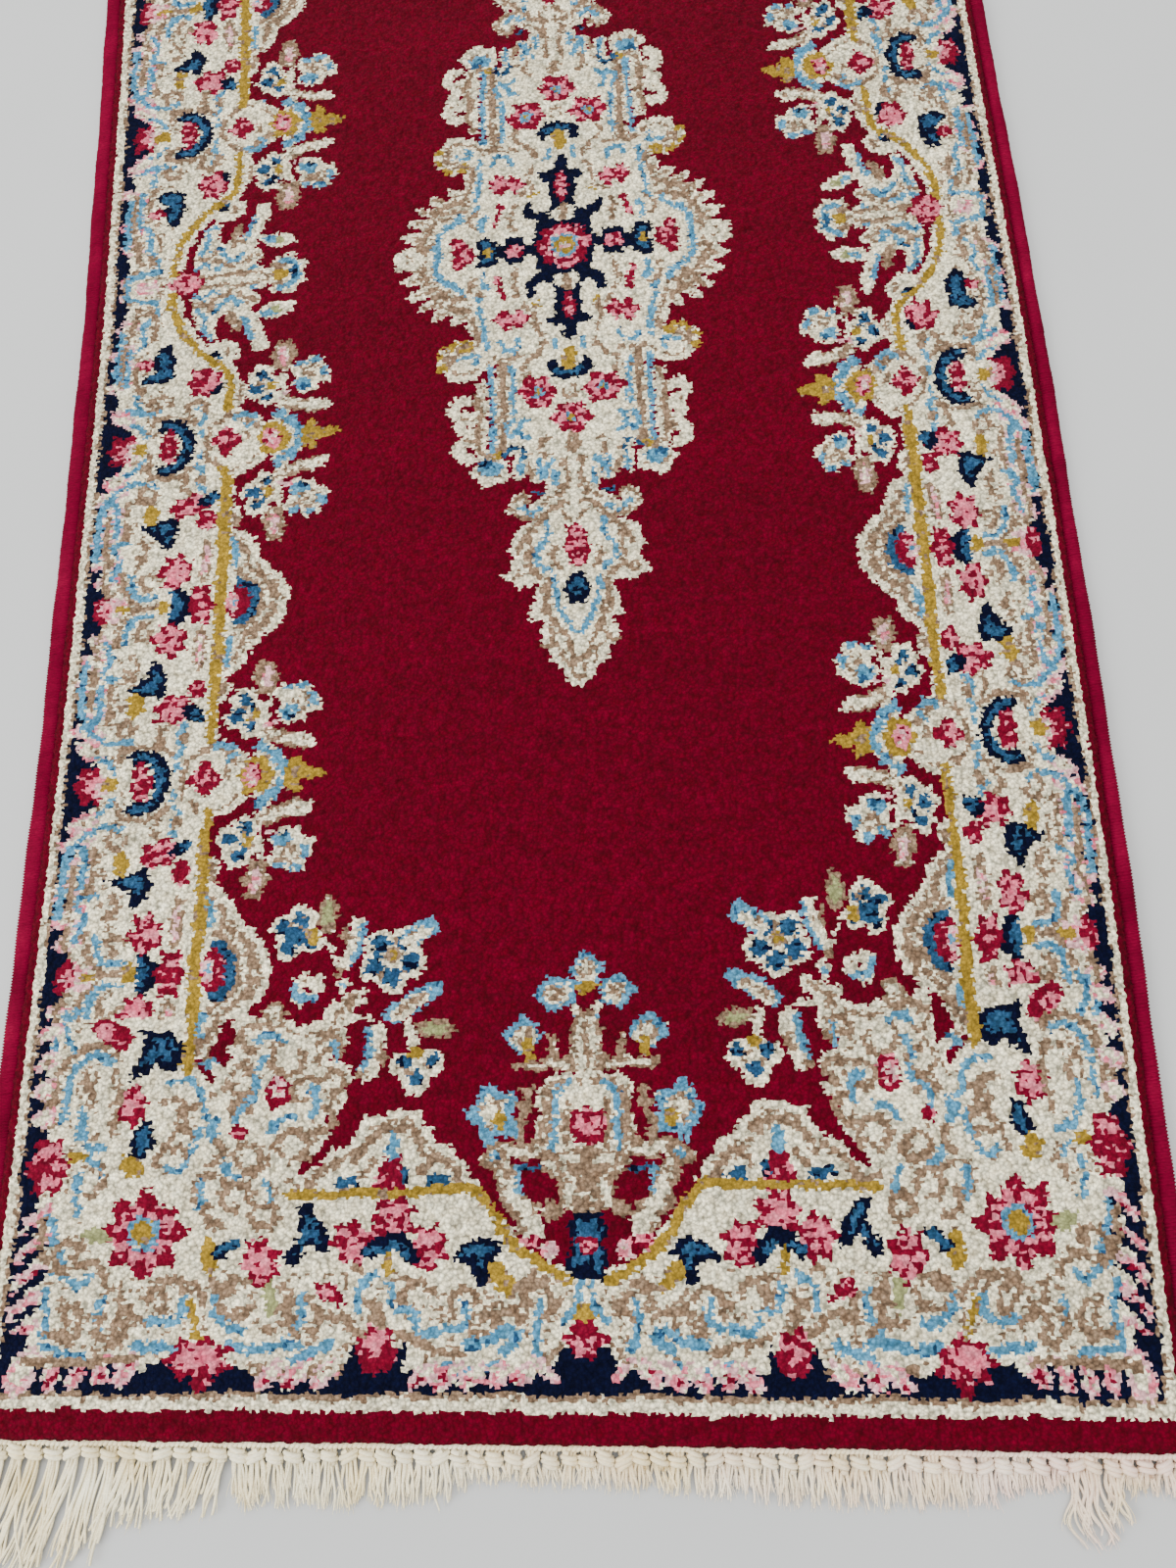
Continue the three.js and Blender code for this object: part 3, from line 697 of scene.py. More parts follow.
def corner_spray():
    """Loose flowers on the field beside the corner shell."""
    bloom(17.5, 49.8, 1.55, 4, 60, BLUE, False)
    spot(IVORY, 17.4, 48.6, 0.6, 0.7)
    spot(BLUE, 17.4, 48.8, 0.35, 0.4)
    spot(BLUE, 17.6, 50.0, 0.7, 0.6)
    spot(GOLD, 16.6, 50.1, 0.4, 0.5)
    two_tone_leaf(15.7, 47.4, 15.5, 49.9, 1.3, TAN, MOSS)
    dotted(IVORY, 0.17, 0.38, (15.9, 50.3), (15.2, 51.3), (14.9, 52.6))
    line(TAN, 0.5, (14.6, 49.8), (14.4, 51.2), (14.9, 52.4))
    line(IVORY, 0.9, (13.8, 49.4), (14.0, 50.4), (14.5, 51.6))
    line(SKY, 0.4, (13.5, 49.3), (13.6, 50.4), (14.2, 51.8))
    bloom(11.7, 51.6, 1.95, 5, 20, BLUE, False)
    spot(TAN, 11.7, 51.4, 0.5)
    spot(GOLD, 11.7, 51.4, 0.34)
    line(SKY, 1.3, (10.5, 50.4), (9.5, 49.6))
    line(IVORY, 0.8, (10.8, 50.7), (9.8, 50.0))
    bloom(16.8, 53.3, 1.0, 3, 180, IVORY, False)
    line(SKY, 0.45, (17.6, 53.0), (17.2, 53.8), (16.3, 53.8))
    spot(IVORY, 16.3, 52.9, 0.6, 0.4)
    spot(IVORY, 14.5, 53.1, 0.4, 0.5, 0, 4, 0.2)
    spot(SKY, 14.5, 53.2, 0.2)
    area(IVORY, (15.6, 54.4), (14.3, 53.8), (13.2, 53.3), (13.0, 54.2), (14.0, 54.9),
         (12.9, 55.0), (12.4, 55.5), (14.4, 55.4), (15.6, 55.3))
    spot(TAN, 13.9, 54.1, 0.6, 0.35, 30)
    line(SKY, 1.15, (11.4, 54.9), (10.3, 54.2), (9.1, 53.6))
    line(IVORY, 0.8, (11.2, 54.9), (10.3, 54.3), (9.6, 54.0))
    two_tone_leaf(10.1, 55.8, 7.8, 56.0, 1.1, TAN, MOSS)
    line(IVORY, 0.65, (10.5, 55.6), (10.3, 56.4), (10.2, 57.2))
    for x, y in ((10.9, 58.0), (9.2, 57.9), (10.1, 59.0)):
        spot(IVORY, x, y, 0.85, 0.8)
    for x, y in ((10.8, 57.8), (9.1, 57.8), (10.1, 58.8)):
        spot(BLUE, x, y, 0.48, 0.45)
    spot(GOLD, 10.1, 57.3, 0.5, 0.42)
    spot(IVORY, 9.9, 58.0, 0.25)
    line(IVORY, 1.05, (12.3, 56.0), (12.4, 57.2), (12.9, 58.5))
    line(SKY, 0.42, (12.7, 56.0), (12.9, 57.2), (13.2, 58.1))
    spot(TAN, 12.1, 57.4, 0.28, 0.6)
    spot(TAN, 13.2, 58.6, 0.4, 0.3)


# ---- the end border ---------------------------------------------------------------------
def end_cartouche():
    """The half medallion that stands on the gold line of an end."""
    area(IVORY, (16.9, 65.1), (16.2, 64.2), (15.6, 63.8), (14.8, 62.8), (13.9, 62.6),
         (13.3, 62.0), (13.0, 61.0), (12.0, 60.9), (11.3, 60.5), (10.4, 60.6), (9.8, 60.6),
         (9.5, 61.4), (8.9, 61.8), (8.7, 62.6), (7.9, 62.6), (7.2, 63.6), (6.9, 64.0),
         (6.3, 65.1))
    line(TAN, 0.5, (13.3, 63.4), (12.5, 62.3), (11.3, 61.6), (10.2, 61.9), (9.3, 63.0))
    line(TAN, 0.45, (15.9, 64.9), (15.2, 64.0), (14.2, 63.6))
    line(TAN, 0.45, (9.5, 63.9), (8.7, 63.3), (7.7, 64.0), (7.3, 64.9))
    line(TAN, 0.4, (12.9, 64.3), (12.2, 63.4))
    area(RUBY, (12.4, 65.0), (11.9, 64.2), (11.6, 63.2), (11.1, 62.6), (10.6, 63.2),
         (10.5, 64.2), (10.2, 65.0))
    spot(PINK, 11.8, 64.4, 0.3)
    spot(PINK, 11.1, 64.5, 0.25, 0.2)
    leaf(SKY, 11.1, 61.9, 11.2, 63.6, 0.8)
    area(BLUE, (14.6, 64.9), (14.3, 64.2), (13.7, 64.3), (13.1, 64.3), (12.9, 64.9))
    area(BLUE, (9.3, 64.9), (9.2, 64.2), (8.6, 64.1), (8.0, 64.4), (7.8, 64.8))
    spot(BLUE, 10.4, 64.3, 0.25, 0.4)


def end_border():
    """The border along an end: leaves, roses, scrolls and the guard."""
    # dark leaves and roses
    area(NAVY, (16.5, 65.9), (15.7, 65.9), (15.2, 66.7), (14.6, 67.4), (14.6, 68.5),
         (15.2, 68.4), (15.7, 67.8), (16.2, 68.8), (17.1, 69.0), (16.9, 68.2), (16.2, 67.4),
         (16.3, 66.7))
    area(BLUE, (16.0, 66.2), (15.6, 66.5), (15.0, 67.4), (15.0, 67.9), (15.6, 67.5),
         (16.3, 68.4), (16.7, 68.5), (16.1, 67.5))
    rose(13.2, 68.0, 1.2, 1.15)
    rose(10.9, 66.7, 1.15, 1.3)
    rose(8.9, 68.3, 1.1, 1.2)
    spot(RUBY, 11.9, 67.4, 0.4)
    line(NAVY, 0.8, (12.3, 68.6), (11.6, 68.2), (10.9, 67.9), (10.2, 68.3), (9.9, 68.9))
    line(BLUE, 0.42, (12.4, 68.5), (11.5, 68.4), (10.9, 68.2), (10.2, 68.6))
    leaf(GOLD, 11.3, 68.5, 11.3, 70.0, 0.6)
    area(NAVY, (7.8, 69.3), (7.4, 68.6), (6.8, 68.0), (5.8, 67.8), (5.0, 68.0), (4.6, 68.6),
         (5.2, 69.0), (5.6, 70.4), (6.2, 70.2), (6.5, 69.2), (7.2, 69.1))
    area(BLUE, (7.3, 68.8), (6.8, 68.3), (5.9, 68.1), (5.2, 68.4), (5.7, 68.8), (5.9, 69.8),
         (6.2, 68.8))
    leaf(GOLD, 5.5, 69.2, 4.1, 70.8, 1.0)
    area(RUBY, (15.4, 70.0), (14.4, 70.0), (13.7, 70.9), (13.8, 71.5), (14.3, 71.2),
         (15.1, 70.9))
    area(PINK, (15.1, 70.4), (14.5, 70.4), (14.1, 71.0), (14.9, 70.9))
    # scrolls beyond the flowers
    for x, y, size, start, sweep in (
        (23.6, 70.9, 1.2, 200, 250), (19.6, 71.0, 1.15, 340, -260), (16.0, 71.6, 1.0, 150, 240),
        (12.4, 71.9, 1.1, 20, 250), (9.6, 71.0, 1.0, 200, 240), (5.6, 72.4, 1.0, 330, 250),
        (3.0, 71.3, 1.0, 120, 240), (28.9, 72.0, 1.1, 40, 250), (29.2, 68.6, 1.0, 200, 250),
        (26.3, 72.6, 0.9, 300, 250),
    ):
        scroll(TAN, 0.46, x, y, size, start, sweep, 0.4)
    scroll(TAN, 0.45, 24.4, 71.2, 1.2, 20, 230, 0.35)
    line(SKY, 0.5, (22.4, 71.0), (22.5, 71.8), (23.2, 72.2), (24.3, 72.2))
    line(GOLD, 0.42, (22.1, 71.2), (21.8, 72.2), (21.3, 73.2))
    line(SKY, 0.5, (20.8, 70.9), (20.7, 71.8), (20.0, 72.3), (19.0, 72.5))
    line(TAN, 0.45, (22.6, 69.9), (21.6, 70.4), (21.3, 71.2))
    scroll(TAN, 0.45, 19.8, 71.2, 0.8, 270, 230, 0.4)
    line(SKY, 0.55, (25.1, 73.5), (22.9, 73.6))
    line(SKY, 0.6, (19.6, 73.4), (18.5, 73.7), (17.0, 73.4), (15.9, 73.4))
    line(SKY, 0.55, (16.1, 74.3), (15.2, 73.8), (14.2, 73.5))
    line(SKY, 0.42, (15.9, 70.7), (15.8, 71.9), (16.3, 72.8))
    line(TAN, 0.5, (17.0, 70.2), (16.6, 71.0), (17.2, 71.4))
    line(TAN, 0.5, (15.2, 73.2), (15.0, 72.2), (14.2, 71.8), (13.2, 72.2))
    line(TAN, 0.45, (17.6, 72.6), (16.6, 72.3), (15.9, 72.9))
    line(SKY, 0.45, (12.0, 69.8), (12.8, 70.4), (12.9, 71.6))
    line(SKY, 0.4, (11.0, 70.4), (10.9, 71.4))
    line(SKY, 0.4, (10.4, 71.7), (9.4, 71.8))
    line(TAN, 0.5, (12.2, 71.4), (11.4, 72.0), (11.4, 73.0))
    line(TAN, 0.45, (10.2, 69.9), (9.7, 70.3), (10.1, 70.9))
    line(TAN, 0.4, (13.4, 69.3), (12.8, 69.5))
    scroll(SKY, 0.42, 8.6, 71.9, 1.1, 10, 110, 0.1)
    line(SKY, 0.45, (6.9, 71.2), (6.8, 72.3), (7.6, 72.6), (8.6, 72.6), (9.4, 73.2))
    scroll(TAN, 0.45, 6.9, 71.4, 0.9, 200, 200, 0.2)
    line(SKY, 0.6, (6.6, 73.4), (5.4, 73.2), (4.4, 72.7), (3.8, 73.2), (4.6, 73.6))
    line(SKY, 0.5, (8.0, 74.5), (6.4, 74.8), (5.0, 74.4))
    line(SKY, 0.42, (2.6, 71.3), (2.8, 72.4), (2.6, 73.8))
    line(TAN, 0.5, (5.9, 71.9), (4.4, 71.7), (3.6, 72.2))
    line(TAN, 0.5, (4.2, 70.6), (3.2, 70.2), (2.2, 70.7), (1.8, 71.8))
    line(TAN, 0.45, (3.4, 71.2), (3.3, 71.5))
    line(TAN, 0.45, (10.2, 73.0), (8.6, 73.6), (7.0, 73.9))
    line(TAN, 0.5, (13.0, 75.2), (13.8, 74.7), (16.0, 74.8), (18.4, 74.6))
    line(TAN, 0.45, (3.4, 74.6), (2.4, 74.4), (1.9, 73.8))
    line(SKY, 0.4, (0.3, 70.3), (0.6, 71.4), (1.2, 72.2))
    spot(GOLD, 0.2, 71.9, 0.5, 0.45)
    # guard: navy blocks with half flowers, and blush tips between them
    area(NAVY, (10.1, 73.4), (10.6, 73.8), (12.6, 73.8), (13.1, 73.5), (13.3, 74.4),
         (13.6, 76.0), (9.8, 76.0), (10.2, 74.8))
    area(RUBY, (12.9, 73.6), (12.4, 74.8), (11.6, 75.1), (10.8, 74.6), (10.5, 73.8),
         (11.2, 73.3), (12.4, 73.4))
    rose(11.7, 73.5, 0.95, 0.95, 0, 5)
    area(NAVY, (24.0, 74.3), (22.8, 74.4), (19.6, 74.4), (18.6, 75.2), (18.0, 76.0),
         (25.4, 76.0))
    rose(21.3, 74.2, 1.7, 1.15, 0, 7)
    spot(RUBY, 21.2, 75.2, 0.5, 0.8)
    area(NAVY, (0, 73.4), (1.3, 73.6), (1.7, 74.4), (2.6, 75.2), (2.2, 75.9), (0, 75.9))
    spot(RUBY, 0, 73.1, 1.25, 0.85, 0, 5)
    spot(PINK, 0.35, 73.4, 0.5, 0.5)
    for at, tip in ((17.6, 75.7), (16.2, 75.6), (14.6, 75.5), (9.2, 75.7), (7.8, 75.6),
                    (6.4, 75.6), (5.0, 75.5), (3.6, 75.4)):
        leaf(BLUSH, at - 0.9, 74.3, at + 0.6, tip + 0.1, 1.0)
        leaf(PINK, at - 0.5, 74.7, at + 0.5, tip + 0.05, 0.34)
        leaf(IVORY, at - 0.9, 74.4, at - 0.1, 75.1, 0.4)
    line(BLUSH, 0.5, (2.6, 74.3), (2.0, 74.9), (1.6, 75.1))


def centre_vase():
    """The vase at the middle of each end, growing towards the medallion."""
    spot(SKY, 0, 52.6, 0.95, 1.0, 0, 5, 0.12)
    spot(IVORY, 0, 52.8, 0.62, 0.75)
    spot(SKY, 1.8, 54.0, 1.15, 0.95, 0, 5, 0.14)
    spot(IVORY, 1.7, 54.1, 0.72, 0.6)
    spot(GOLD, 0, 53.7, 0.7, 0.35)
    spot(IVORY, 0.6, 55.0, 0.35, 0.4)
    spot(SKY, 0.2, 55.4, 0.6, 0.3)
    area(TAN, (0, 54.9), (0.6, 55.3), (1.0, 56.2), (0.9, 57.4), (1.6, 58.0), (1.9, 56.5),
         (2.4, 56.5), (2.2, 57.6), (2.6, 58.0), (4.3, 58.0), (4.3, 58.5), (2.6, 58.6),
         (1.4, 58.6), (0, 58.8))
    line(IVORY, 0.5, (0.3, 55.7), (0.5, 57.2), (0.3, 58.4))
    line(IVORY, 0.3, (1.2, 58.3), (2.4, 58.2), (3.6, 58.3))
    spot(SKY, 3.8, 56.4, 1.05, 1.0, 0, 4, 0.12)
    spot(IVORY, 3.7, 56.6, 0.7, 0.7)
    leaf(GOLD, 3.6, 56.5, 3.4, 57.9, 0.75)
    area(IVORY, (0, 58.6), (2.2, 58.9), (2.9, 59.8), (2.7, 61.0), (3.0, 62.0), (2.4, 63.2),
         (0, 63.6))
    line(TAN, 0.42, (0.4, 59.2), (1.6, 59.3), (2.4, 59.9), (2.4, 61.2), (2.6, 62.4))
    line(SKY, 0.42, (1.0, 59.2), (1.8, 60.0), (1.8, 61.6), (1.9, 62.9))
    line(TAN, 0.35, (1.2, 60.4), (1.3, 61.8), (1.0, 62.8))
    area(RUBY, (0, 60.5), (0.5, 60.9), (1.0, 60.8), (1.1, 61.9), (0.7, 62.8), (0, 62.9))
    spot(PINK, 0.65, 61.5, 0.32, 0.4)
    spot(PINK, 0.0, 61.9, 0.3, 0.45)
    area(TAN, (3.2, 59.5), (3.9, 59.5), (3.6, 60.2), (4.2, 60.4), (3.8, 61.1), (4.4, 61.5),
         (4.2, 62.6), (3.4, 62.8), (3.6, 61.6), (3.2, 60.8))
    spot(SKY, 5.4, 61.0, 1.35, 1.5, 0, 5, 0.18)
    spot(IVORY, 5.4, 60.9, 0.75, 0.8, 0, 5, 0.2)
    spot(GOLD, 5.0, 61.4, 0.4, 0.45)
    line(TAN, 0.95, (5.8, 63.6), (4.9, 62.9), (3.4, 63.2), (2.6, 62.7))
    line(IVORY, 0.5, (5.6, 63.4), (4.8, 63.0), (3.4, 63.2), (2.4, 62.9))
    spot(SKY, 5.4, 63.4, 0.35)
    line(TAN, 1.35, (4.9, 64.0), (4.5, 65.2), (4.3, 66.0), (3.4, 66.4))
    line(IVORY, 0.75, (4.9, 63.9), (4.5, 65.1), (4.2, 65.9), (3.5, 66.2))
    area(TAN, (0, 63.0), (2.6, 63.2), (2.4, 64.2), (1.6, 64.9), (1.6, 66.2), (0, 66.8))
    line(IVORY, 0.5, (0.6, 63.6), (1.9, 63.8), (1.0, 64.8), (1.2, 66.0))
    line(SKY, 0.35, (4.0, 64.0), (3.9, 65.4))
    line(BLUE, 0.3, (3.7, 64.0), (2.6, 64.2))
    spot(TAN, 2.0, 66.4, 0.6, 0.5)
    spot(IVORY, 3.3, 67.2, 0.85, 0.8, 0, 5, 0.12)
    spot(TAN, 3.7, 67.4, 0.25)
    spot(PINK, 3.3, 68.1, 0.5, 0.35)
    spot(BLUSH, 2.2, 68.5, 0.55, 0.5)
    area(NAVY, (0, 66.5), (0.7, 66.6), (1.1, 67.4), (0.9, 68.2), (1.2, 69.0), (1.0, 70.0),
         (0, 70.1))
    area(BLUE, (0, 67.0), (0.5, 67.0), (0.8, 67.6), (0.6, 68.4), (0.9, 69.2), (0.7, 69.6),
         (0, 69.2))
    spot(RUBY, 0, 68.3, 0.55, 0.5)
    spot(PINK, 0.1, 68.3, 0.3, 0.28)


# ---- the medallion ----------------------------------------------------------------------
def medallion():
    """The medallion, from the rug's middle to the tip of its pendant."""
    area(IVORY, (0, 0), (12.4, 0), (11.9, 0.5), (12.1, 1.2), (11.0, 1.5), (10.9, 2.1),
         (11.6, 2.5), (11.3, 3.2), (10.0, 3.2), (9.9, 3.8), (10.4, 4.2), (10.3, 5.0),
         (9.4, 5.0), (8.8, 5.4), (7.9, 5.6), (7.3, 5.9), (7.4, 6.7), (6.8, 7.4),
         (7.6, 7.6), (8.2, 7.3), (9.2, 8.2), (9.4, 9.4), (8.9, 9.9), (8.6, 10.5),
         (7.6, 10.8), (6.7, 10.5), (5.9, 10.0), (5.3, 9.5), (5.2, 11.0), (4.9, 17.2),
         (5.2, 18.0), (4.9, 19.0), (4.4, 18.6), (3.9, 19.0), (3.4, 18.8), (2.6, 19.4),
         (1.8, 19.4), (1.7, 20.2), (2.4, 20.6), (3.2, 21.4), (3.0, 20.4), (3.6, 19.9),
         (4.4, 20.4), (4.6, 21.4), (4.0, 21.9), (3.4, 22.4), (2.8, 22.5), (3.6, 22.7),
         (4.2, 23.3), (4.6, 24.6), (4.2, 25.1), (4.6, 25.9), (5.3, 26.5), (4.4, 26.7),
         (3.9, 27.3), (3.2, 27.2), (2.6, 26.9), (2.7, 27.9), (3.0, 28.6), (3.1, 29.7),
         (2.2, 29.7), (2.6, 30.5), (2.5, 31.4), (1.9, 31.8), (1.9, 32.5), (1.2, 33.0),
         (0.9, 33.8), (0.4, 34.1), (0, 34.7))
    # leaf tips round the widest part, with notches and veins between them
    tips = [(12.4, 0.5), (11.9, 2.0), (11.5, 3.4), (10.7, 4.6), (9.8, 5.5), (8.4, 6.0)]
    for x, y in tips:
        leaf(IVORY, x * 0.74, y * 0.72, x, y, 1.05)
    for (ax, ay), (bx, by) in zip(tips, tips[1:]):
        middle_x, middle_y = (ax + bx) / 2, (ay + by) / 2
        leaf(CRIMSON, middle_x * 1.09, middle_y * 1.09, middle_x * 0.9, middle_y * 0.9, 0.62)
        line(TAN, 0.3, (middle_x * 0.88, middle_y * 0.88), (middle_x * 0.76, middle_y * 0.78))
    for x, y in tips[1:]:
        line(TAN, 0.26, (x * 0.94, y * 0.94), (x * 0.82, y * 0.84))
    # light curls standing on the crimson, and the striped column inside them
    area(IVORY, (5.0, 10.6), (6.8, 11.0), (6.6, 12.0), (6.9, 13.6), (6.6, 15.2), (6.9, 16.6),
         (6.4, 17.6), (5.0, 17.6))
    for x, y, size in ((7.5, 12.9, 0.78), (7.2, 14.4, 0.66), (7.4, 16.3, 0.78)):
        scroll(IVORY, 0.85, x, y, size, 100, -230, 0.3)
    line(TAN, 0.34, (6.3, 11.2), (6.7, 12.4), (6.4, 13.8), (6.8, 15.2), (6.4, 16.8))
    line(SKY, 0.45, (5.65, 9.8), (5.6, 13.2), (5.55, 16.6))
    dotted(CRIMSON, 0.14, 0.55, (5.85, 10.2), (5.8, 16.4))
    line(TAN, 0.5, (4.85, 9.4), (4.85, 13.0), (4.8, 16.8))
    line(SKY, 0.42, (4.2, 10.0), (4.1, 11.0), (4.2, 13.6))
    line(SKY, 0.4, (3.2, 14.3), (3.7, 14.5), (3.6, 15.4), (3.1, 15.7))
    line(SKY, 0.4, (4.3, 14.3), (4.6, 15.0), (4.2, 15.6), (3.9, 15.2))
    # gold ring leaf
    line(GOLD, 0.85, (7.3, 7.9), (8.3, 7.9), (9.0, 8.5), (9.1, 9.4))
    for x, y in ((7.9, 7.4), (9.3, 8.1), (9.5, 9.2)):
        leaf(IVORY, 8.3, 8.7, x, y, 0.5)
    dotted(GOLD, 0.2, 0.6, (7.6, 7.6), (8.7, 7.9), (9.3, 8.8))
    line(TAN, 0.3, (7.7, 8.3), (8.4, 8.6), (8.3, 9.2))
    line(SKY, 0.35, (7.9, 8.9), (7.3, 8.7), (6.6, 8.8), (6.9, 9.4))
    line(SKY, 0.4, (6.3, 4.8), (6.1, 6.0), (6.0, 7.4), (5.9, 8.2))
    line(TAN, 0.4, (6.9, 5.6), (6.7, 6.6), (6.5, 7.6))
    line(SKY, 0.42, (4.9, 7.9), (4.6, 8.5), (3.9, 8.4), (3.6, 7.7))
    line(TAN, 0.4, (5.4, 8.9), (4.6, 9.2), (3.4, 9.0))
    # centre
    area(NAVY, (0, 0), (2.6, 0), (2.2, 0.7), (2.0, 1.6), (1.9, 2.3), (2.6, 2.6), (3.0, 3.1),
         (2.9, 4.2), (2.4, 4.2), (2.2, 3.3), (1.6, 3.0), (1.0, 3.4), (0.9, 4.2), (1.1, 5.0),
         (1.0, 5.8), (1.6, 6.1), (1.6, 6.6), (0.9, 6.8), (0.4, 6.9), (0.5, 7.7), (0, 8.1))
    spot(RUBY, 0, 5.2, 0.52, 1.3)
    spot(PINK, 0, 4.7, 0.26, 0.4)
    spot(PINK, 0, 5.7, 0.28, 0.4)
    area(IVORY, (0, 2.2), (0.7, 2.3), (1.0, 2.9), (0.5, 3.5), (0, 3.8))
    leaf(TAN, 0, 2.2, 0, 3.8, 0.6)
    spot(RUBY, 0, 0, 1.9, 1.8, 0, 8, 0.08)
    for k in range(6):
        a = math.radians(15 + 60 * k)
        spot(PINK, 1.45 * math.cos(a), 1.4 * math.sin(a), 0.5, 0.42)
    spot(BLUSH, 0, 0, 1.15, 1.1)
    spot(SKY, 0, 0, 1.0, 1.0)
    spot(GOLD, 0, 0, 0.78, 0.76)
    spot(BLUSH, 0, 0, 0.3)
    # arms along the width
    area(NAVY, (2.0, 0), (2.8, 0.5), (2.9, 1.1), (4.2, 1.2), (4.5, 0.6), (5.2, 0.4), (5.2, 0))
    spot(PINK, 3.7, 0, 0.75, 0.6)
    area(NAVY, (5.0, 0), (4.9, 0.9), (5.6, 1.4), (6.5, 1.2), (6.4, 0.4), (6.2, 0))
    area(BLUE, (5.2, 0), (5.2, 0.5), (5.7, 1.0), (6.2, 0.9), (6.0, 0.3), (5.9, 0))
    spot(GOLD, 5.7, 0, 0.3, 0.4)
    area(RUBY, (6.6, 0), (6.7, 0.6), (7.3, 0.9), (7.7, 1.5), (8.5, 1.3), (8.1, 0.8), (8.5, 0.3),
         (8.2, 0))
    spot(PINK, 7.4, 0.3, 0.5, 0.35)
    spot(PINK, 7.9, 0.9, 0.28, 0.22)
    line(SKY, 0.5, (9.2, 0.0), (9.4, 0.9), (9.2, 1.8), (8.5, 2.5), (7.7, 2.9), (7.4, 3.7))
    line(SKY, 0.36, (6.6, 3.6), (6.2, 4.2))
    line(SKY, 0.42, (5.9, 2.0), (6.0, 2.8), (5.6, 3.2))
    line(TAN, 0.4, (10.2, 0.4), (10.3, 1.6), (9.6, 2.8), (8.4, 3.6), (7.2, 3.9))
    line(TAN, 0.4, (9.0, 4.4), (8.0, 4.6), (7.2, 5.0))
    line(TAN, 0.35, (6.6, 2.2), (6.9, 3.0), (6.2, 3.7))
    line(TAN, 0.35, (3.6, 1.8), (3.8, 2.9), (3.5, 4.0))
    line(RUBY, 0.5, (5.0, 2.3), (4.7, 3.2), (4.5, 4.1))
    spot(PINK, 5.0, 2.5, 0.2, 0.3)
    rose(4.5, 6.0, 0.75, 0.8, 0, 4)
    rose(3.5, 5.9, 0.62, 0.72, 0, 4)
    line(TAN, 0.35, (2.3, 4.9), (2.4, 6.2), (2.0, 7.4))
    line(TAN, 0.35, (3.2, 4.8), (2.9, 5.2))
    line(GOLD, 0.3, (2.5, 4.7), (2.0, 5.0))
    line(TAN, 0.4, (1.8, 8.2), (2.4, 9.2), (3.2, 9.8), (3.2, 11.0))
    line(SKY, 0.35, (1.0, 7.9), (0.9, 8.8))
    # three roses under a cup
    area(NAVY, (0, 10.5), (0.8, 10.2), (0.9, 9.5), (1.4, 9.7), (1.6, 10.4), (1.1, 11.1),
         (0.4, 11.3), (0, 11.3))
    area(BLUE, (0, 10.6), (0.9, 10.3), (1.2, 10.5), (0.7, 10.9), (0, 11.0))
    leaf(GOLD, 0, 8.6, 0, 10.6, 1.1)
    for x, y in ((2.35, 12.1), (0, 14.35)):
        spot(RUBY, x, y, 1.35, 1.25, 0, 6, 0.14)
        for k in range(6):
            a = math.radians(30 + 60 * k)
            spot(PINK, x + 0.82 * math.cos(a), y + 0.76 * math.sin(a), 0.32, 0.3)
        spot(SKY, x, y, 0.42, 0.4)
        spot(GOLD, x, y, 0.22, 0.24)
    spot(TAN, 0, 12.3, 0.55, 0.5)
    spot(IVORY, 0, 12.2, 0.3)
    spot(TAN, 0, 16.4, 0.5, 0.8)
    line(TAN, 0.4, (1.8, 16.0), (2.3, 16.6), (2.0, 17.4))
    # shoulders and neck
    area(CRIMSON, (4.7, 19.3), (4.85, 17.6), (4.5, 16.9), (4.0, 17.1), (4.25, 18.0), (4.05, 19.3))
    area(CRIMSON, (3.25, 19.4), (3.35, 18.3), (3.05, 17.6), (2.8, 18.3), (2.75, 19.4))
    line(BLUE, 0.36, (4.7, 17.0), (4.2, 16.5), (3.6, 16.6), (3.45, 17.2))
    line(SKY, 0.38, (3.65, 17.5), (3.7, 18.7))
    line(SKY, 0.38, (2.4, 17.6), (2.3, 19.0))
    spot(IVORY, 5.7, 18.2, 1.35, 1.1, 0, 5, 0.12)
    spot(SKY, 5.7, 18.0, 0.8, 0.55)
    spot(BLUE, 6.1, 17.6, 0.42, 0.35)
    spot(GOLD, 5.2, 16.9, 0.35, 0.3)
    line(SKY, 0.42, (1.5, 17.6), (2.0, 18.4), (2.2, 19.1))
    line(SKY, 0.4, (1.3, 18.6), (1.3, 19.6))
    line(TAN, 0.4, (0.6, 17.6), (0.5, 19.2), (0.8, 20.6))
    line(TAN, 0.42, (3.2, 18.0), (2.9, 18.8))
    line(BLUE, 0.35, (2.2, 20.3), (2.6, 20.2))
    line(SKY, 0.35, (2.2, 21.4), (2.9, 21.8), (3.6, 21.2))
    line(TAN, 0.42, (4.1, 20.6), (3.5, 20.2), (3.1, 20.8))
    line(TAN, 0.35, (4.3, 21.2), (3.6, 22.0), (2.8, 22.2))
    line(TAN, 0.42, (0.5, 21.0), (1.6, 21.6), (2.2, 22.4), (3.0, 23.1))
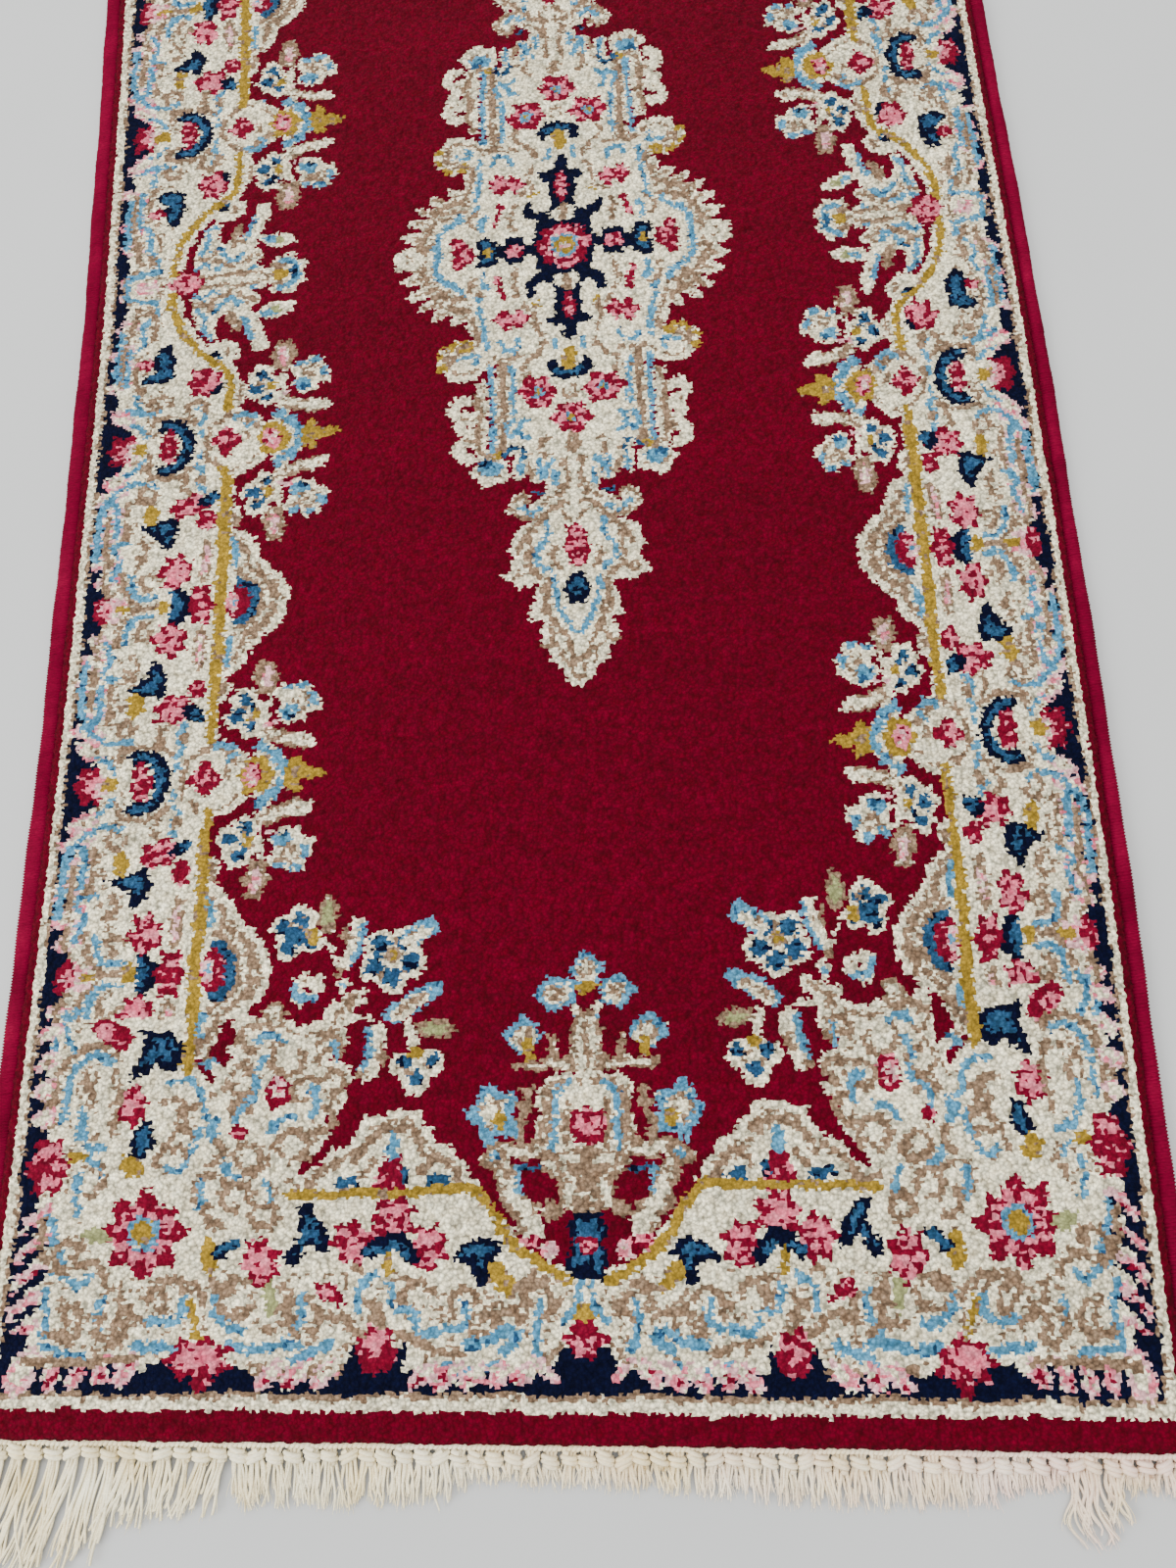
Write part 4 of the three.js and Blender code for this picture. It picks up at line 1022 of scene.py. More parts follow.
    # pendant
    spot(RUBY, 0, 24.4, 0.85, 1.65)
    for at in (23.5, 24.3, 25.1, 25.7):
        spot(PINK, 0.15, at, 0.34, 0.26)
    spot(NAVY, 0, 27.5, 0.85, 1.2, 0, 6, 0.06)
    spot(BLUE, 0, 27.4, 0.48, 0.7)
    line(SKY, 0.38, (1.9, 22.4), (1.9, 23.6), (2.4, 24.3), (2.7, 25.1), (2.3, 25.9), (1.8, 26.1))
    line(SKY, 0.38, (1.5, 26.8), (1.4, 28.2), (1.0, 29.2), (0.2, 30.6))
    line(TAN, 0.42, (3.2, 23.2), (3.1, 24.6), (3.2, 25.6), (2.6, 26.6))
    line(TAN, 0.42, (2.0, 26.9), (2.1, 28.2), (1.7, 29.6), (1.1, 30.6))
    line(TAN, 0.38, (1.4, 24.4), (1.6, 25.2), (1.2, 25.9))
    line(TAN, 0.38, (0.9, 21.8), (0.3, 22.4))
    line(TAN, 0.4, (0.8, 31.0), (0.6, 32.0), (0.2, 32.6))
    line(TAN, 0.35, (3.4, 26.2), (4.2, 26.5))
    line(TAN, 0.35, (2.0, 31.3), (2.4, 31.4))


# ---- the quarter, then the whole rug ----------------------------------------------------
def smooth_noise(rows, columns, cell, seed):
    """Soft random waves over a grid, from -1 to 1, cell steps across."""
    soft = np.random.default_rng(seed)
    grid = soft.uniform(-1, 1, (int(rows / cell) + 3, int(columns / cell) + 3))
    y = np.arange(rows) / cell
    x = np.arange(columns) / cell
    iy, ix = y.astype(int), x.astype(int)
    fy, fx = (y - iy)[:, None], (x - ix)[None, :]
    fy = fy * fy * (3 - 2 * fy)
    fx = fx * fx * (3 - 2 * fx)
    top = grid[iy][:, ix] * (1 - fx) + grid[iy][:, ix + 1] * fx
    low = grid[iy + 1][:, ix] * (1 - fx) + grid[iy + 1][:, ix + 1] * fx
    return top * (1 - fy) + low * fy


def grown(marked, times=1):
    """The marked cells and the four beside each, as often as asked."""
    for _ in range(times):
        out = marked.copy()
        out[1:] |= marked[:-1]
        out[:-1] |= marked[1:]
        out[:, 1:] |= marked[:, :-1]
        out[:, :-1] |= marked[:, 1:]
        marked = out
    return marked


RIM_INSET = 6  # cells from the crimson field to the tan line inside a pale shape
RIM_WIDTH = 3  # cells


def shade_pale_wool():
    """A tan line inside the rim of each pale shape, and tan scrolls in the outer border."""
    x, y = np.meshgrid(CHART_X, CHART_Y)
    rows, columns = chart.shape
    free = chart == IVORY
    near_color = grown(~(free | (chart == TAN)), 2)
    outside = grown(chart == CRIMSON, RIM_INSET)
    rim = grown(outside, RIM_WIDTH) & ~outside
    soft = smooth_noise(rows, columns, 9, 11)
    inner_field = (x < 23.6) & (y < 65) & ~((x > 22.9) & (y < 12))
    chart[rim & free & inner_field & (soft > -0.35)] = TAN
    waves = smooth_noise(rows, columns, 12, 12) + 0.35 * smooth_noise(rows, columns, 5, 13)
    scrolls = (np.abs(waves) < 0.075) | (np.abs(waves - 0.5) < 0.07)
    outer = (x < 31.6) & (y < 74.8) & (x > 28.4) | (y > 69.6) & (y < 74.8) & (x < 31.6)
    chart[scrolls & free & outer & ~near_color] = TAN


def draw_quarter():
    """The whole chart, in the order in which one thing covers another."""
    first, second, third = PALMETTES
    between, beyond = CARTOUCHES
    plain_bands()
    for start, turn, low, high in ((first, -1, 10.4, first), (first, 1, first, between),
                                   (second, -1, between, second), (second, 1, second, beyond),
                                   (third, -1, beyond, 54.6)):
        now_at[0] = (start, turn, low, high)
        side_repeat()
    now_at[0] = WHOLE_QUARTER
    corner_border()
    end_border()
    for start, turn, low, high in ((first, 1, 16, between), (second, -1, between, 37),
                                   (second, 1, 41, beyond), (third, -1, beyond, 58)):
        now_at[0] = (start, turn, low, high)
        side_cartouche()
        line(GOLD, GOLD_WIDTH, (23.55, 3.0), (23.5, 12.8), smooth=False)
    now_at[0] = WHOLE_QUARTER
    corner_palmette()
    bay()
    for start, turn in ((first, 1), (first, -1), (second, 1), (second, -1)):
        now_at[0] = (start, turn, 3, 48)
        side_palmette()
    now_at[0] = WHOLE_QUARTER
    corner_spray()
    end_cartouche()
    gold_line()
    centre_vase()
    medallion()
    shade_pale_wool()


def mixed(yarns):
    """Chance specks of another yarn, a knot or two across, with the look of mixed wools."""
    rows, columns = yarns.shape
    specks = smooth_noise(rows, columns, 1.6, 31)
    others = smooth_noise(rows, columns, 2.1, 32)
    beside_tan = grown(yarns == TAN) & (yarns == IVORY)
    out = yarns.copy()
    for yarn, where, speck in (
        (TAN, specks > 0.72, IVORY),
        (SKY, specks > 0.85, IVORY),
        (SKY, specks < -0.72, BLUE),
        (BLUE, specks < -0.5, NAVY),
        (PINK, specks > 0.22, RUBY),
        (RUBY, specks < -0.6, PINK),
        (BLUSH, specks > 0.35, PINK),
        (BLUSH, specks < -0.5, IVORY),
        (GOLD, specks > 0.66, TAN),
    ):
        out[(yarns == yarn) & where] = speck
    out[beside_tan & (others > 0.6)] = TAN
    return out


def whole_rug():
    """The yarn of every knot, from the chart, with the wobble of hand knotting."""
    draw_quarter()
    columns, rows = 2 * COLUMNS, 2 * ROWS
    x = ((np.arange(columns) + 0.5) * KNOT - SIDE)[None, :] / CM
    y = ((np.arange(rows) + 0.5) * ROW - END)[:, None] / CM
    broad, fine = 14, 3  # knots from one wave to the next
    x = x + 0.13 * smooth_noise(rows, columns, broad, 1) + 0.09 * smooth_noise(rows, columns, fine, 2)
    y = y + 0.13 * smooth_noise(rows, columns, broad, 3) + 0.09 * smooth_noise(rows, columns, fine, 4)
    x = x + chance.uniform(-0.12, 0.12, x.shape)
    y = y + chance.uniform(-0.10, 0.10, y.shape)
    column = np.clip((np.abs(x) / CELL_X).astype(int), 0, len(CHART_X) - 1)
    row = np.clip((np.abs(y) / CELL_Y).astype(int), 0, len(CHART_Y) - 1)
    yarns = mixed(chart[row, column])
    yarns[:, [0, 1, -2, -1]] = CRIMSON  # the last knots of each row, against the overcast edges
    return yarns


# ---- materials --------------------------------------------------------------------------
def new_material(name):
    """A material with its node tree, its main shader and a helper that adds a node."""
    material = bpy.data.materials.new(name)
    material.use_nodes = True
    nodes = material.node_tree.nodes
    links = material.node_tree.links
    shader = nodes["Principled BSDF"]

    def add(kind, inputs=(), **settings):
        node = nodes.new(kind)
        for key, value in settings.items():
            setattr(node, key, value)
        for key, value in dict(inputs).items():
            if isinstance(value, bpy.types.NodeSocket):
                links.new(value, node.inputs[key])
            else:
                node.inputs[key].default_value = value
        return node

    return material, shader, add, links


def noise(add, where, scale, detail=2.0, stretch=(1, 1, 1)):
    """Noise over the object's own coordinates; scale is in features per metre."""
    mapping = add("ShaderNodeMapping", {"Vector": where, "Scale": tuple(scale * s for s in stretch)})
    node = add("ShaderNodeTexNoise", {"Vector": mapping.outputs["Vector"], "Scale": 1.0,
                                      "Detail": detail, "Roughness": 0.55})
    return node.outputs["Fac"]


def scaled(add, value, low, high, from_low=0.3, from_high=0.7):
    """A value moved from one range to another; noise mostly lies between 0.3 and 0.7."""
    node = add("ShaderNodeMapRange", {"Value": value, "From Min": from_low, "From Max": from_high,
                                      "To Min": low, "To Max": high})
    return node.outputs["Result"]


def combined(add, operation, values):
    """The values taken together by one operation after another."""
    result = values[0]
    for value in values[1:]:
        node = add("ShaderNodeMath", {0: result, 1: value}, operation=operation)
        result = node.outputs["Value"]
    return result


def product(add, *values):
    """The values multiplied together."""
    return combined(add, "MULTIPLY", values)


def total(add, *values):
    """The values added together."""
    return combined(add, "ADD", values)


def linear(color):
    """An sRGB colour, 0 to 255, as the linear one that shaders use."""
    channels = [c / 255 for c in color]
    return [c / 12.92 if c <= 0.04045 else ((c + 0.055) / 1.055) ** 2.4 for c in channels]


def brightened(add, color, second, mixing, factor):
    """Two shades mixed by one pattern, then made lighter and darker by another."""
    mixed = add("ShaderNodeMix", {0: mixing, 6: (*linear(color), 1), 7: (*linear(second), 1)},
                data_type="RGBA").outputs[2]
    node = add("ShaderNodeVectorMath", {0: mixed, "Scale": factor}, operation="SCALE")
    return node.outputs["Vector"]


def tufts(add, where):
    """Distance from the middle of the nearest knot, for the painted shade in the gaps between knots and
    for the bumps, and a chance shade for each knot.
    """
    bend = add("ShaderNodeTexNoise", {"Vector": where, "Scale": 180.0, "Detail": 1.0})
    shove = add("ShaderNodeVectorMath", {0: bend.outputs["Color"], "Scale": 0.0022},
                operation="SCALE")
    moved = add("ShaderNodeVectorMath", {0: where, 1: shove.outputs["Vector"]}, operation="ADD")
    mapping = add("ShaderNodeMapping", {"Vector": moved.outputs["Vector"],
                                        "Scale": (0.95 / KNOT, 0.85 / ROW, 150.0)})
    cells = add("ShaderNodeTexVoronoi", {"Vector": mapping.outputs["Vector"], "Scale": 1.0})
    shade = add("ShaderNodeSeparateColor", {"Color": cells.outputs["Color"]})
    return cells.outputs["Distance"], shade.outputs["Red"]


def cloth_shine(shader, gloss, sheen, sheen_roughness):
    """Sets how little the wool or cotton shines, and the soft glow at its edges."""
    shader.inputs["Specular IOR Level"].default_value = gloss
    shader.inputs["Sheen Weight"].default_value = sheen
    shader.inputs["Sheen Roughness"].default_value = sheen_roughness


def pile_wool(name, color, second, strength):
    """Clipped wool knots: light tips, painted shade in the gaps between knots, painted light and shade
    on clumps of pile, with uneven rows and bands of dye.
    """
    material, shader, add, links = new_material(name)
    where = add("ShaderNodeTexCoord").outputs["Object"]
    distance, shade = tufts(add, where)
    fibres = noise(add, where, 2600, 2.0)
    patches = noise(add, where, 70, 3.0, (0.7, 1.3, 1))
    dye_bands = noise(add, where, 14, 2.0, (0.15, 1.6, 1))
    # painted light and shade of clumps of pile, a few millimetres across
    clump_shade = noise(add, where, 260, 2.0, (1.2, 0.8, 1))
    tone = product(
        add,
        # painted shade: darker away from the middle of each knot, in the gaps between knots
        scaled(add, distance, 1.18, 1.18 - 0.72 * strength, 0.12, 0.85),
        scaled(add, shade, 1 - 0.2 * strength, 1 + 0.22 * strength, 0.0, 1.0),
        scaled(add, fibres, 1 - 0.2 * strength, 1 + 0.2 * strength),
        scaled(add, clump_shade, 1 - 0.3 * strength, 1 + 0.2 * strength),
        scaled(add, patches, 0.9, 1.1),
        scaled(add, dye_bands, 0.92, 1.08),
    )
    mixing = scaled(add, noise(add, where, 160, 3.0), 0.0, 1.0)
    links.new(brightened(add, color, second, mixing, tone), shader.inputs["Base Color"])
    links.new(scaled(add, fibres, 0.82, 0.98), shader.inputs["Roughness"])
    tips = scaled(add, distance, 1.0, 0.0, 0.0, 0.9)
    height = total(add, product(add, tips, 0.8), product(add, fibres, 0.3))
    bump = add("ShaderNodeBump", {"Height": height, "Strength": 0.8, "Distance": 0.0016})
    links.new(bump.outputs["Normal"], shader.inputs["Normal"])
    cloth_shine(shader, gloss=0.05, sheen=0.03, sheen_roughness=0.5)
    shader.inputs["Sheen Tint"].default_value = (*[min(1, 0.15 + c) for c in linear(color)], 1)
    return material


def spun_thread(name, color, second, pitch, shine=0.2, strength=1.0, stain=None, gloss=0.25):
    """Wound or twisted thread: fine fibres along it, and soft dirt here and there."""
    material, shader, add, links = new_material(name)
    where = add("ShaderNodeTexCoord").outputs["Object"]
    fibres = noise(add, where, 1 / pitch, 3.0, (0.35, 1.6, 1.0))
    patches = noise(add, where, 45, 3.0)
    tone = product(
        add,
        scaled(add, fibres, 1 - 0.2 * strength, 1 + 0.2 * strength),
        scaled(add, patches, 1 - 0.1 * strength, 1 + 0.1 * strength),
    )
    mixing = scaled(add, noise(add, where, 22, 3.0), 0.0, 1.0)
    shade = brightened(add, color, second, mixing, tone)
    if stain:
        across = add("ShaderNodeSeparateXYZ", {"Vector": where}).outputs["X"]
        reach = product(add, scaled(add, across, 0.0, 0.75, -0.12, 0.3),
                        scaled(add, noise(add, where, 30, 2.0), 0.2, 1.0))
        shade = add("ShaderNodeMix", {0: reach, 6: shade, 7: (*linear(stain), 1)},
                    data_type="RGBA").outputs[2]
    links.new(shade, shader.inputs["Base Color"])
    links.new(scaled(add, fibres, 0.72, 0.92), shader.inputs["Roughness"])
    bump = add("ShaderNodeBump", {"Height": fibres, "Strength": 0.6, "Distance": 0.0006})
    links.new(bump.outputs["Normal"], shader.inputs["Normal"])
    cloth_shine(shader, gloss, sheen=shine, sheen_roughness=0.45)
    return material


# ---- the pile ---------------------------------------------------------------------------
def edge_spikes(count, reach):
    """How far each of the outermost knots leans out over what is beside it."""
    lean = chance.random(count)
    return reach * (0.25 + 0.75 * lean**1.5)


STRAY_ACROSS = 0.40 * KNOT  # how far the corners of a knot stray
STRAY_ALONG = 0.38 * ROW
SIDE_SPIKES = 1.8 * MM
END_SPIKES = 1.5 * MM
RIM_DROP = 1.3 * MM
TUCK = 0.4 * MM  # how far inside the rim the pile meets the weave
SUNK = 0.6 * MM  # how deep it goes into the weave there


def knot_corners(yarns):
    """Where the corners of every knot lie on the straight design, and how high they stand."""
    rows, columns = yarns.shape
    x = np.linspace(-SIDE, SIDE, columns + 1)[None, :]
    y = np.linspace(-END, END, rows + 1)[:, None]
    shape = (rows + 1, columns + 1)
    x = x + STRAY_ACROSS * chance.uniform(-1, 1, shape)
    y = y + STRAY_ALONG * chance.uniform(-1, 1, shape)
    depth = chance.uniform(0, 1, shape) ** 1.6 * 0.95 * MM
    different = np.zeros(shape)
    changed_x = yarns[:, 1:] != yarns[:, :-1]
    changed_y = yarns[1:] != yarns[:-1]
    different[:-1, 1:-1] += changed_x
    different[1:, 1:-1] += changed_x
    different[1:-1, :-1] += changed_y
    different[1:-1, 1:] += changed_y
    z = PILE_TOP - depth - 0.35 * MM * np.minimum(different, 2) / 2
    inner = z[1:-1, 1:-1]
    inner += 0.15 * MM * chance.uniform(-1, 1, inner.shape)

    # The rim: the last knots splay out and roll over to the weave.
    x[:, 0] = -SIDE - edge_spikes(rows + 1, SIDE_SPIKES)
    x[:, -1] = SIDE + edge_spikes(rows + 1, SIDE_SPIKES)
    y[0] = -END - edge_spikes(columns + 1, END_SPIKES)
    y[-1] = END + edge_spikes(columns + 1, END_SPIKES)
    for rim in (z[:, 0], z[:, -1], z[0], z[-1]):
        rim -= RIM_DROP
    for ring, drop in ((1, 0.45), (2, 0.1)):
        z[ring:-ring, ring] -= drop * MM
        z[ring:-ring, -1 - ring] -= drop * MM
        z[ring, ring:-ring] -= drop * MM
        z[-1 - ring, ring:-ring] -= drop * MM
    return x, y, z


def rim_levels(rim_x, rim_y):
    """Two rings of points under the rim: half-way down, and tucked into the weave."""
    tucked_x = np.clip(rim_x, -SIDE + TUCK, SIDE - TUCK)
    tucked_y = np.clip(rim_y, -END + TUCK, END - TUCK)
    return [
        laid(rim_x * 0.5 + tucked_x * 0.5, rim_y * 0.5 + tucked_y * 0.5,
             (PILE_TOP + GROUND_TOP) / 2),
        laid(tucked_x, tucked_y, GROUND_TOP - SUNK),
    ]


def make_pile(yarns):
    """One mesh for each yarn, from the yarn number of every knot, near left knot first."""
    x, y, z = knot_corners(yarns)
    top = laid(x, y, z).reshape(-1, 3)
    around = rim_of(np.arange(len(top)).reshape(z.shape))
    points = np.concatenate([top, *rim_levels(x.ravel()[around], y.ravel()[around])])

    size = len(around)
    here = np.arange(size)
    after = (here + 1) % size
    levels = [around, len(top) + here, len(top) + size + here]
    walls = [
        np.stack([lower[here], lower[after], upper[after], upper[here]], axis=-1)
        for upper, lower in zip(levels, levels[1:])
    ]
    quads = np.concatenate([grid_quads(*z.shape), *walls])
    beside = np.concatenate([yarns[0], yarns[:, -1], yarns[-1, ::-1], yarns[::-1, 0]])
    numbers = np.concatenate([yarns.ravel(), beside, beside])

    pieces = []
    for number, (name, color, second, slot, strength) in enumerate(YARNS):
        chosen = quads[numbers == number]
        if len(chosen) == 0:
            continue
        used, renumbered = np.unique(chosen, return_inverse=True)
        material = pile_wool(f"{name}_wool_pile", color, second, strength)
        pieces.append(mesh_piece(
            f"pile_{name}", points[used], renumbered.reshape(-1, 4), material
        ))
    return dict(zip([yarn[0] for yarn in YARNS], pieces))


# ---- ground weave -----------------------------------------------------------------------
UNDERSIDE = 0.2 * MM


def make_ground_weave(material):
    """The cotton warps and wefts, a closed sheet under the pile."""
    half_width = HALF_WIDTH - EDGE_WIDTH
    columns, rows = 68, 158  # points, a centimetre apart
    x = np.linspace(-half_width, half_width, columns)[None, :]
    y = np.linspace(-HALF_LENGTH, HALF_LENGTH, rows)[:, None]
    top = laid(x, y, GROUND_TOP).reshape(-1, 3)
    bottom = laid(x, y, UNDERSIDE).reshape(-1, 3)
    count = len(top)
    faces = grid_quads(rows, columns)
    index = np.arange(count).reshape(rows, columns)
    around = rim_of(index)
    after = np.roll(around, -1)
    side = np.stack([around + count, after + count, after, around], axis=-1)
    quads = np.concatenate([faces, faces[:, ::-1] + count, side])
    return mesh_piece("woven_ground", np.concatenate([top, bottom]), quads, material)


# ---- overcast edges ---------------------------------------------------------------------
THREAD = 1.9 * MM  # from one turn of the edge's wool to the next
RIDGE = 0.5 * MM


def make_edge(name, side, material):
    """Wool wound round and round the edge's core: a flat cord with one ridge for each turn."""
    around = 14
    per_turn = 4
    turns = int(2 * HALF_LENGTH / THREAD)
    steps = turns * per_turn + 1
    along = np.linspace(-HALF_LENGTH, HALF_LENGTH, steps)[:, None]
    angle = np.linspace(0, 2 * math.pi, around, endpoint=False)[None, :]
    phase = (along / THREAD) * 2 * math.pi + 0.5 * np.sin(along * 61)
    amount = np.repeat(chance.uniform(0.6, 1.35, turns + 1), per_turn)[:steps, None]
    ridge = RIDGE * amount * np.sin(phase + 0.5 * np.cos(angle))
    swell = 0.35 * MM * np.sin(along * 37 + side) + 0.2 * MM * np.sin(along * 113)
    half_wide = (EDGE_WIDTH - 0.8 * MM) / 2 + ridge + swell
    half_high = EDGE_HEIGHT / 2 - 0.4 * MM + ridge * 0.9 + 0.5 * swell
    squared = 0.8  # below 1, flatter sides than an ellipse
    across = np.sign(np.cos(angle)) * np.abs(np.cos(angle)) ** squared
    upward = np.sign(np.sin(angle)) * np.abs(np.sin(angle)) ** squared
    middle = side * (HALF_WIDTH - EDGE_WIDTH / 2)
    slant = 0.35 * THREAD * across
    points = laid(
        middle + half_wide * across,
        np.clip(along + slant, -HALF_LENGTH, HALF_LENGTH),
        EDGE_HEIGHT / 2 + half_high * upward,
    )
    quads = grid_quads(steps, around, wrap=True)
    caps = []
    for row, flip in ((0, 1), (steps - 1, -1)):
        ring = row * around + np.arange(around)
        for k in range(around // 2 - 1):
            corners = [ring[k], ring[k + 1], ring[around - 2 - k], ring[around - 1 - k]]
            caps.append(corners[::flip])
    quads = np.concatenate([quads, np.array(caps)])
    return mesh_piece(name, points.reshape(-1, 3), quads[:, ::-1], material)


# ---- finished ends ----------------------------------------------------------------------
TWINE_DOWN = 2.56 * MM  # from the last row to the middle of the twined cord
TWINE_RADIUS = 1.25 * MM
KNOT_PITCH = 10 * MM  # from one fringe knot to the next
KNOT_DOWN = 8.3 * MM  # from the last row to the middle of a knot
STRAND = 0.95 * MM  # radius of one warp end of the fringe
STRANDS = 9  # warp ends gathered in each knot
KNOT_MIDDLE = 4.3 * MM  # how high the middle of a knot, or of the cord, lies
WRAP_RADIUS = 1.45 * MM
GATHERED = 4.4 * MM  # width of the warp ends inside their knot
FANNED = 5.6 * MM  # how much wider they stand where they leave the weave
FULL_TURN = 6.28
LONG_SIDE = -200 * MM  # left of here the near fringe is longer and neater
CURLED = (262 * MM, 296 * MM)  # a bunch of the near fringe that curls
FRINGE_LENGTHS = {  # places across the rug and the fringe's lengths there, in mm
    "near": ([-345, -270, -245, -170, -90, -60, 60, 130, 220, 235, 264, 271, 287, 294, 345],
             [78, 74, 46, 34, 34, 21, 25, 30, 28, 22, 21, 46, 46, 21, 22]),
    "far": ([-345, -200, -40, 120, 345], [36, 42, 34, 44, 38]),
}


def fringe_length(end, x):
    """How long the fringe is at a place across the rug."""
    places, lengths = FRINGE_LENGTHS[end]
    return np.interp(x, np.array(places) * MM, np.array(lengths) * MM)


def make_twining(end, direction, material):
    """Two cotton cords twisted together along the last row of knots."""
    pitch = 5.2 * MM
    half_width = HALF_WIDTH - EDGE_WIDTH
    steps = int(2 * half_width / (pitch / 12))
    x = np.linspace(-half_width, half_width, steps)
    wander = 0.25 * MM * np.sin(x * 140) + 0.15 * MM * np.sin(x * 333)
    paths = []
    for strand in (0, math.pi):
        turn = 2 * math.pi * x / pitch + strand
        y = direction * (HALF_LENGTH + TWINE_DOWN + 1.1 * MM * np.cos(turn)) + wander
        z = KNOT_MIDDLE + 1.2 * MM * np.sin(turn)
        paths.append(laid(x, y, z))
    paths = np.stack(paths)
    radii = np.full(paths.shape[:2], TWINE_RADIUS) * chance.uniform(0.88, 1.12, paths.shape[:2])
    points, quads = tubes(paths, radii, 7)
    return mesh_piece(f"twined_cord_{end}", points, quads, material)


class Strands:
    """Collects sets of tubes into one mesh; each set has its own number of steps and sides."""

    def __init__(self):
        self.points = []
        self.quads = []
        self.count = 0

    def add(self, paths, radii, sides):
        points, quads = tubes(np.stack(paths), np.stack(radii), sides)
        self.points.append(points)
        self.quads.append(quads + self.count)
        self.count += len(points)

    def piece(self, name, material, slot):
        return mesh_piece(name, np.concatenate(self.points), np.concatenate(self.quads),
                          material)


def hanging(direction, middle, share, down, tip, slant, layer, spread, curl):
    """One warp end: out of the weave, through its knot and down to its tip.

    share is its place across the bundle, -0.5 to 0.5; down and tip are how far the knot and the tip
    lie from the last row. Gives x, y, z and how far below the knot each step is, 0 to 1.
    """
    t = np.linspace(0, 1, 18) ** 1.15
    reach = 1.5 * MM + (tip - 1.5 * MM) * t
    above = np.clip(1 - reach / down, 0, 1)
    below = np.clip((reach - down) / max(tip - down, 1e-6), 0, 1)
    offset = chance.uniform(0, FULL_TURN)
    sway = chance.normal(0, 0.10)
    wave = curl * np.sin(chance.uniform(0.5, 1.6) * FULL_TURN * below + offset) * below
    x = (
        middle
        + share * (GATHERED + FANNED * above + spread * np.sqrt(below))
        + (slant + sway) * (tip - down) * below**1.2
        + wave * (tip - down)
    )
    hump = 1.9 * MM * np.exp(-(((reach - down) / (4.2 * MM)) ** 2)) * (1 - 0.6 * abs(2 * share) ** 2)
    z = 1.2 * MM + layer * 0.75 * MM * (1 - 0.5 * below) + hump + 1.2 * MM * above
    return x, direction * (HALF_LENGTH + reach), z, below


def loose_yarn(path, first, direction):
    """A fine yarn that comes away from a warp end at one of its steps, and its radii."""
    spread = np.linspace(0, 1, len(path) - first)[:, None] ** 1.3
    stray = np.array([chance.normal(0, 1.6), direction * chance.uniform(-1.5, 3.0),
                      chance.normal(0.2, 0.5)]) * MM
    run = path[first:] + spread * stray
    run[:, 2] = np.maximum(run[:, 2], 0.4 * MM)
    return run, np.linspace(0.42, 0.12, len(run)) * MM


def knot_wrap(middle, down, direction, leans_back):
    """The turns of one knot, wound aslant round the ends it gathers."""
    t = np.linspace(0, 1, 30)
    turns = chance.uniform(2.1, 2.8)
    turn = 2 * math.pi * turns * t + chance.uniform(0, FULL_TURN)
    wide = chance.uniform(3.9, 4.6) * MM * np.sqrt(np.clip(1 - (1.6 * t - 0.8) ** 2, 0.3, 1))
    tilt = chance.uniform(0.8, 2.0) * MM * (-1 if leans_back else 1)
    x = middle + wide * np.cos(turn)
    z = KNOT_MIDDLE + 0.8 * wide * np.sin(turn)
    y = direction * (HALF_LENGTH + down + (t - 0.5) * 5.6 * MM + tilt * np.cos(turn))
    return laid(x, y, np.maximum(z, 1.0 * MM))


def make_fringe(end, direction, material):
    """A row of knots, each gathering nine warp ends, and the loose ends below them."""
    half_width = HALF_WIDTH - EDGE_WIDTH
    count = int(2 * half_width / KNOT_PITCH)
    middles = (np.arange(count) - (count - 1) / 2) * KNOT_PITCH
    middles = middles + chance.uniform(-1, 1, count) * 0.7 * MM
    downs = KNOT_DOWN + chance.uniform(-1, 1, count) * 1.1 * MM
    fringe = Strands()
    paths, radii = [], []
    frays, fray_radii = [], []
    for middle, down in zip(middles, downs):
        length = float(fringe_length(end, middle))
        long_side = end == "near" and middle < LONG_SIDE
        slant = (-0.2 if long_side else 0.03) + chance.normal(0, 0.05)
        curl = 0.14 if end == "near" and CURLED[0] < middle < CURLED[1] else 0.035
        for strand in range(STRANDS):
            share = (strand + 0.5) / STRANDS - 0.5
            tip = max(down + 7 * MM, length * chance.uniform(0.74, 1.06))
            x, y, z, below = hanging(direction, middle, share, down, tip, slant, strand % 3,
                                     (5.8 if long_side else 8.8) * MM, curl)
            path = laid(x, y, z)
            thick = STRAND * chance.uniform(0.8, 1.1)
            fade = 1 - (0.22 if long_side else 0.5) * below**2.2
            paths.append(path)
            radii.append(thick * fade)
            first = int(len(path) * (0.72 if long_side else 0.45))
            for _ in range(2 if long_side else 3):
                run, run_radii = loose_yarn(path, first, direction)
                frays.append(run)
                fray_radii.append(run_radii)
    fringe.add(paths, radii, 5)
    steps = min(len(run) for run in frays)
    fringe.add([run[-steps:] for run in frays], [r[-steps:] for r in fray_radii], 3)
    wraps = [knot_wrap(middle, down, direction, leans_back=number % 5 == 0)
             for number, (middle, down) in enumerate(zip(middles, downs))]
    fringe.add(wraps, [np.full(len(wrap), WRAP_RADIUS) for wrap in wraps], 6)
    return fringe.piece(f"fringe_strands_{end}", material, "cotton")


# ---- the whole rug ----------------------------------------------------------------------
cotton_ground = spun_thread("ground_cotton", (150, 141, 118), (128, 117, 94), 1.2 * MM)
edge_wool = spun_thread("edge_wool_wound", (106, 5, 37), (84, 1, 26), 0.9 * MM, shine=0.0,
                        strength=1.6, gloss=0.04)
fringe_cotton = spun_thread("fringe_cotton", (238, 230, 202), (226, 208, 160), 0.8 * MM, shine=0.05,
                            stain=(228, 190, 186))

